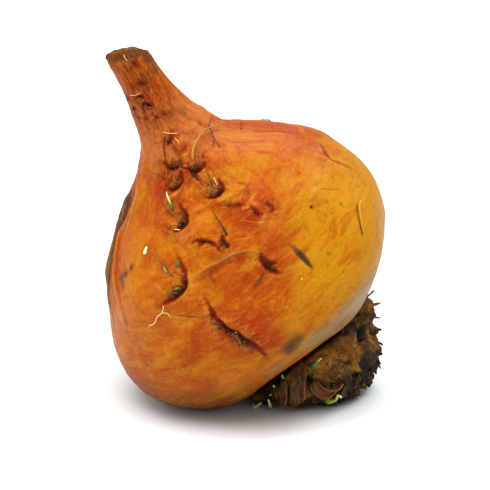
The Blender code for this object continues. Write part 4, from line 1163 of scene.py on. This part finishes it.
for rowIndex, rowReach in enumerate(scraps["rows"]):
    for index in range(scraps["perRow"]):
        place = (index + 0.5 * (rowIndex % 2)) * 360 / scraps["perRow"] + draw.gauss(0, 9)
        if not openPlace(place, rowReach):
            addScrap(
                place, max(0.6, rowReach + draw.gauss(0, 1.0)), draw.uniform(*scraps["flapSize"]),
                draw.uniform(*scraps["flapSize"]), 0.0, draw.uniform(-0.02, 0.07), draw.gauss(0, 0.5),
                across=8, steps=9, ragged=0.6)
for index in range(scraps["small"]):
    place, placeReach = draw.uniform(-180, 180), 0.5 + 20.0 * draw.random() ** 0.8
    rim = 35 < place < 100 and draw.random() < 0.55
    if not openPlace(place, placeReach) and not rim:
        addScrap(
            place, placeReach, draw.uniform(*scraps["smallLength"]), draw.uniform(*scraps["smallWidth"]),
            draw.uniform(-0.3, 0.25), draw.uniform(-0.1, 0.3), draw.gauss(0, 0.9),
            across=3, steps=4, ragged=0.7)
for place, placeReach, length, width, rise, turn in scraps["shreds"]:
    addScrap(place, placeReach, length, width, 0.2, rise, turn, across=3, steps=6, ragged=0.6)

scrapPoints, scrapPlaces = np.array(scrapPoints), np.array(scrapPlaces)
scrapMesh = meshOf("leafScraps", heldUp(toTable(scrapPoints, crownForm["give"]), 0.1 * mm), scrapFaces)
paintCrown(scrapMesh, scrapPoints, scrapPlaces[:, 0], np.clip(scrapPlaces[:, 1], 0, 22), 0.06)
addPiece("leafScraps", scrapMesh, "driedLeafRot", "dead_leaf_base", shell=0.22)

fibres = []
for index in range(scraps["fibres"]):
    place, placeReach = draw.uniform(-180, 180), 20 * draw.random()
    base, out, sideways, down = crownPlace(place, placeReach)
    heading, length = draw.uniform(0, 2 * math.pi), draw.uniform(*scraps["fibreLength"])
    ahead = math.cos(heading) * down + math.sin(heading) * sideways
    bend = np.cross(ahead, out) * draw.gauss(0, 0.35)
    share = np.linspace(0, 1, 8)[:, None]
    line = base + out * (0.1 + 0.9 * draw.random() * share * (1.3 - share))
    line = line + ahead * length * share + bend * length * share ** 2
    thick = draw.uniform(*scraps["fibreThick"])
    points = heldUp(toTable(line, crownForm["give"]), thick * mm)
    tone = draw.choice(scraps["fibreTones"])
    fibres.append((points, thick * mm * (1 - 0.6 * share[:, 0]), np.full(8, tone)))
addPiece("crownFibres", strandMesh("crownFibres", fibres, 5), "dryThreadRoot", "dead_leaf_base")
print("crown dressed,", len(scrapFaces), "scrap faces")


# Withered leaf stalks: limp brown straps with ribs along them and a paler rolled edge

stalks = {
    "withered_stalk_1": {
        "width": 5.4, "curl": 0.4, "ribs": 3, "blade": False,
        "line": [
            (-18, -0.6, 0.7), (-20, 1.2, 1.5), (-23, 2.3, 1.7), (-27, 3.1, 1.7), (-31, 4.1, 1.7),
            (-35.5, 5.6, 1.4)]},
    "withered_stalk_2": {
        "width": 2.4, "curl": 0.4, "ribs": 1, "blade": True,
        "line": [(-33.5, 1.2, 1.2), (-38, 2.6, 1.5), (-43, 4.0, 1.9), (-47.5, 5.6, 2.1)]},
    "withered_stalk_3": {
        "width": 3.6, "curl": 1.1, "ribs": 2, "blade": False,
        "line": [(-18, 4.2, 1.9), (-19, 5.6, 2.3), (-17, 6.9, 2.5), (-12, 7.9, 2.4), (-6.5, 8.3, 2.1)]},
}
stalkLook = {"pale": "#6c4527", "dark": "#3c2412", "edge": "#98602a", "grainMm": 0.2, "roughness": 0.5}
shader = newMaterial("witheredStalk", {"Roughness": stalkLook["roughness"], "Specular IOR Level": 0.2})
inMm = scaled(addNode("ShaderNodeTexCoord").outputs["Object"], (1000, 1000, 250))
grain = noiseOf(inMm, 0.9, 4.0, 0.6, 0.3)
colour = mixed(ranged(grain, 0.35, 0.65), stalkLook["pale"], stalkLook["dark"])
feed(shader.inputs["Base Color"], mixed(times(layerOf("edge"), 0.8), colour, stalkLook["edge"]))
feed(shader.inputs["Normal"], bumped(grain, 0.6, stalkLook["grainMm"] * mm))

for name, stalk in stalks.items():
    across, count = 12, 26
    rows = softLine(stalk["line"], count)
    points, edges = [], []
    for step, (stalkAround, stalkReach, lift) in enumerate(rows):
        share = step / count
        base, out, sideways, down = crownPlace(stalkAround, stalkReach)
        taper = 0.62 + 0.4 * math.sin(math.pi * min(1.0, 0.1 + 0.75 * share))
        if stalk["blade"]:
            taper *= 1.0 - smoothStep(0.45, 1.05, share)
        for column in range(across + 1):
            side = 2.0 * column / across - 1.0
            wave = 0.12 * math.cos(math.pi * stalk["ribs"] * side) + 0.15 * math.sin(7 * share + 3 * side)
            raised = lift + stalk["curl"] * side * side + wave
            points.append(base - sideways * (0.5 * stalk["width"] * taper * side) + out * raised)
            edges.append(max(0.0, abs(side) - 0.86) / 0.14 * (0.4 + 0.6 * share))
    placed = heldUp(toTable(np.array(points)), 0.35 * mm)
    mesh = meshOf(name + "_strap", placed, gridFaces(count, across))
    paint(mesh, edge=edges)
    addPiece(name + "_strap", mesh, "witheredStalk", "withered_stalk", name, shell=0.45, soft=True)
print("stalks laid")


# Young shoots and seeds: juicy pale green, white where the light never reached

shootRows = {
    "shoot_1": [
        (-12, 2.3, -1, 0.45, 0.1), (-10.5, 2.1, 1.2, 0.75, 0.05), (-8, 1.95, 2.1, 0.62, 0.2),
        (-5, 1.8, 2.6, 0.36, 0.5), (-2.4, 1.75, 2.9, 0.18, 0.85)],
    "shoot_2": [
        (-59.5, 4.9, 0.2, 0.3, 0.5), (-58.4, 4.3, 1.3, 0.55, 0.55), (-56, 3.6, 2.2, 0.5, 0.7),
        (-53, 2.8, 2.7, 0.34, 0.9), (-50.5, 2, 2.8, 0.2, 1)],
    "shoot_3": [
        (-24, 11.2, -1, 0.5, 0.5), (-23, 11.3, 1.4, 0.8, 0.45), (-18, 11.2, 2.7, 0.42, 0.65),
        (-14, 10.6, 3.2, 0.32, 0.75), (-11, 9.8, 3.4, 0.25, 0.95)],
    "shoot_4": [
        (-73, 3.4, 0.2, 0.3, 0.6), (-71, 2.9, 1.1, 0.5, 0.65), (-68, 2.7, 1.9, 0.42, 0.8),
        (-63, 2.4, 2.4, 0.3, 0.9), (-59.5, 2.2, 2.5, 0.18, 1)],
}


def shootStrand(rows, place, count=18):
    rows = softLine(rows, count)
    radii = rows[:, 3] * mm
    return heldUp(place(rows), radii), radii, np.clip(rows[:, 4], 0, 1)


def offCrown(rows):
    base, out, sideways, down = crownAt(rows[:, 0], rows[:, 1])
    return toTable(base + out * rows[:, 2:3])


# beet sprouts: watery tissue, bright and slightly see-through
sproutLook = {
    "dark": "#2f4a1c", "pale": "#eef0c8", "between": ((0.35, "#5d7a2a"), (0.6, "#9fb04a"), (0.8, "#d0d88a")),
    "roughness": 0.35,
}
shader = newMaterial("youngSprout", {
    "Roughness": sproutLook["roughness"], "Subsurface Weight": 0.15, "Subsurface Radius": (0.6, 1.0, 0.3),
    "Subsurface Scale": 0.001})
feed(shader.inputs["Base Color"], rampOf(
    layerOf("tone"), sproutLook["dark"], sproutLook["pale"], sproutLook["between"]))

for name, rows in shootRows.items():
    sprout = strandMesh(name + "_sprout", [shootStrand(rows, offCrown)], 12)
    addPiece(name + "_sprout", sprout, "youngSprout", "shoot_green", name)

skinGreens = [
    [
        (-31.7, 32.5, 0, 0.2, 0.05), (-31.8, 33.1, 0.5, 0.34, 0.2), (-32.3, 33.9, 0.7, 0.24, 0.7),
        (-33.4, 34.7, 0.8, 0.16, 1), (-34.8, 35.5, 0.9, 0.1, 1)],
    [
        (-54.8, 27.3, 0.4, 0.38, 0.9), (-54.3, 27.6, 0.5, 0.5, 0.88), (-53.7, 28, 0.5, 0.38, 0.9),
        (-53.3, 28.4, 0.4, 0.24, 0.85)],
    [(-43.4, 24.2, 0.3, 0.15, 0.45), (-42.9, 23.5, 0.5, 0.3, 0.5), (-42.4, 22.9, 0.3, 0.15, 0.6)],
    [(-37.2, 23.8, 0.0, 0.2, 0.1), (-36.7, 23.4, 0.3, 0.4, 0.15), (-36.1, 22.9, 0.1, 0.2, 0.15)],
    [(-41.4, 19.4, 0.0, 0.15, 0.4), (-40.0, 19.3, 0.4, 0.4, 0.3), (-38.6, 19.1, 0.2, 0.2, 0.35)],
    [(-26.0, 4.6, -0.5, 0.2, 0.4), (-25.6, 4.2, -0.1, 0.32, 0.55), (-25.2, 3.8, -0.4, 0.2, 0.4)],
    [(2.9, 5.1, 0.0, 0.08, 0.8), (3.2, 5.15, 0.05, 0.15, 0.8), (3.5, 5.2, 0.0, 0.08, 0.8)],
]


def offSkin(rows):
    return toTable(onSkin(rows[:, :3]))


crownGreens = [
    [(-33, 0.9, 0.6, 0.2, 0.5), (-32.5, 0.8, 1.4, 0.32, 0.55), (-31.6, 0.6, 1.8, 0.2, 0.8)],
    [(-44, 1.0, 0.5, 0.2, 0.6), (-43.4, 1.0, 1.2, 0.3, 0.7), (-43, 0.8, 1.5, 0.2, 0.8)],
    [(-50, 2.0, 0.8, 0.15, 0.7), (-49.6, 1.8, 1.3, 0.25, 0.8), (-49, 1.7, 1.5, 0.15, 0.9)],
]
greens = [shootStrand(rows, offSkin, 12) for rows in skinGreens]
greens += [shootStrand(rows, offCrown, 8) for rows in crownGreens]
addPiece("sproutBits", strandMesh("sproutBits", greens, 10), "youngSprout", "shoot_green")
print("shoots and seeds set")


# Table, light and camera

studio = {
    "tableSize": 80.0, "white": "#e2e6e7", "overhead": 1.15, "horizon": 0.6,
    # name, where it shines from, strength, how wide the light is in degrees, whether it shows in the gloss
    "lights": [
        ("keyLight", (-0.10, -0.36, 0.92), 2.6, 50.0, False),
        ("leftLight", (-0.85, -0.20, 0.50), 0.5, 40.0, False),
        ("sparkle", (0.40, 0.10, 0.90), 0.8, 16.0, True),
    ],
}

half = studio["tableSize"] / 2
corners = [(-half, -half, 0), (half, -half, 0), (half, half, 0), (-half, half, 0)]
tableMesh = meshOf("table", corners, [(0, 1, 2, 3)])
table = addObject("table", tableMesh)
newMaterial("whiteLaminate", {      # matt white board
    "Base Color": linearColour(studio["white"]), "Roughness": 0.9, "Specular IOR Level": 0.1})
tableMesh.materials.append(bpy.data.materials["whiteLaminate"])

world = bpy.data.worlds.new("whiteRoom")
world.use_nodes = True
inHand["tree"] = world.node_tree
# a white room, brightest overhead
facing = addNode("ShaderNodeTexCoord").outputs["Generated"]
facing = addNode("ShaderNodeSeparateXYZ", {}, {0: facing}).outputs[2]
background = world.node_tree.nodes["Background"]
feed(background.inputs["Strength"], ranged(facing, 0.0, 1.0, studio["horizon"], studio["overhead"]))
background.inputs["Color"].default_value = (1, 1, 1, 1)
bpy.context.scene.world = world

for name, place, strength, wide, shows in studio["lights"]:
    lamp = addObject(name, bpy.data.lights.new(name, "SUN"))
    lamp.data.energy = strength
    lamp.data.angle = math.radians(wide)
    lamp.visible_glossy = shows
    lamp.rotation_euler = Vector(place).to_track_quat("Z", "Y").to_euler()

# in metres and degrees; it aims "lookAt" over the table and is then moved up in its own plane by "above"
view = {
    "elevation": 12.0, "distance": 0.400, "lookAt": 0.0378, "above": 0.0056,
    "lens": 105.0, "sensor": 36.0, "clipStart": 0.01, "gamma": 0.9,
}
camera = addObject("camera", bpy.data.cameras.new("camera"))
slope = math.radians(view["elevation"])
camera.data.lens = view["lens"]
camera.data.sensor_width = view["sensor"]
camera.data.clip_start = view["clipStart"]
camera.location = (
    lying["middle"][0] * mm,
    lying["middle"][1] * mm - view["distance"] * math.cos(slope) + view["above"] * math.sin(slope),
    view["lookAt"] + view["distance"] * math.sin(slope) + view["above"] * math.cos(slope),
)
camera.rotation_euler = (math.radians(90 - view["elevation"]), 0, 0)
bpy.context.scene.camera = camera
bpy.context.scene.view_settings.view_transform = "Standard"
bpy.context.scene.view_settings.gamma = view["gamma"]

print("studio ready")
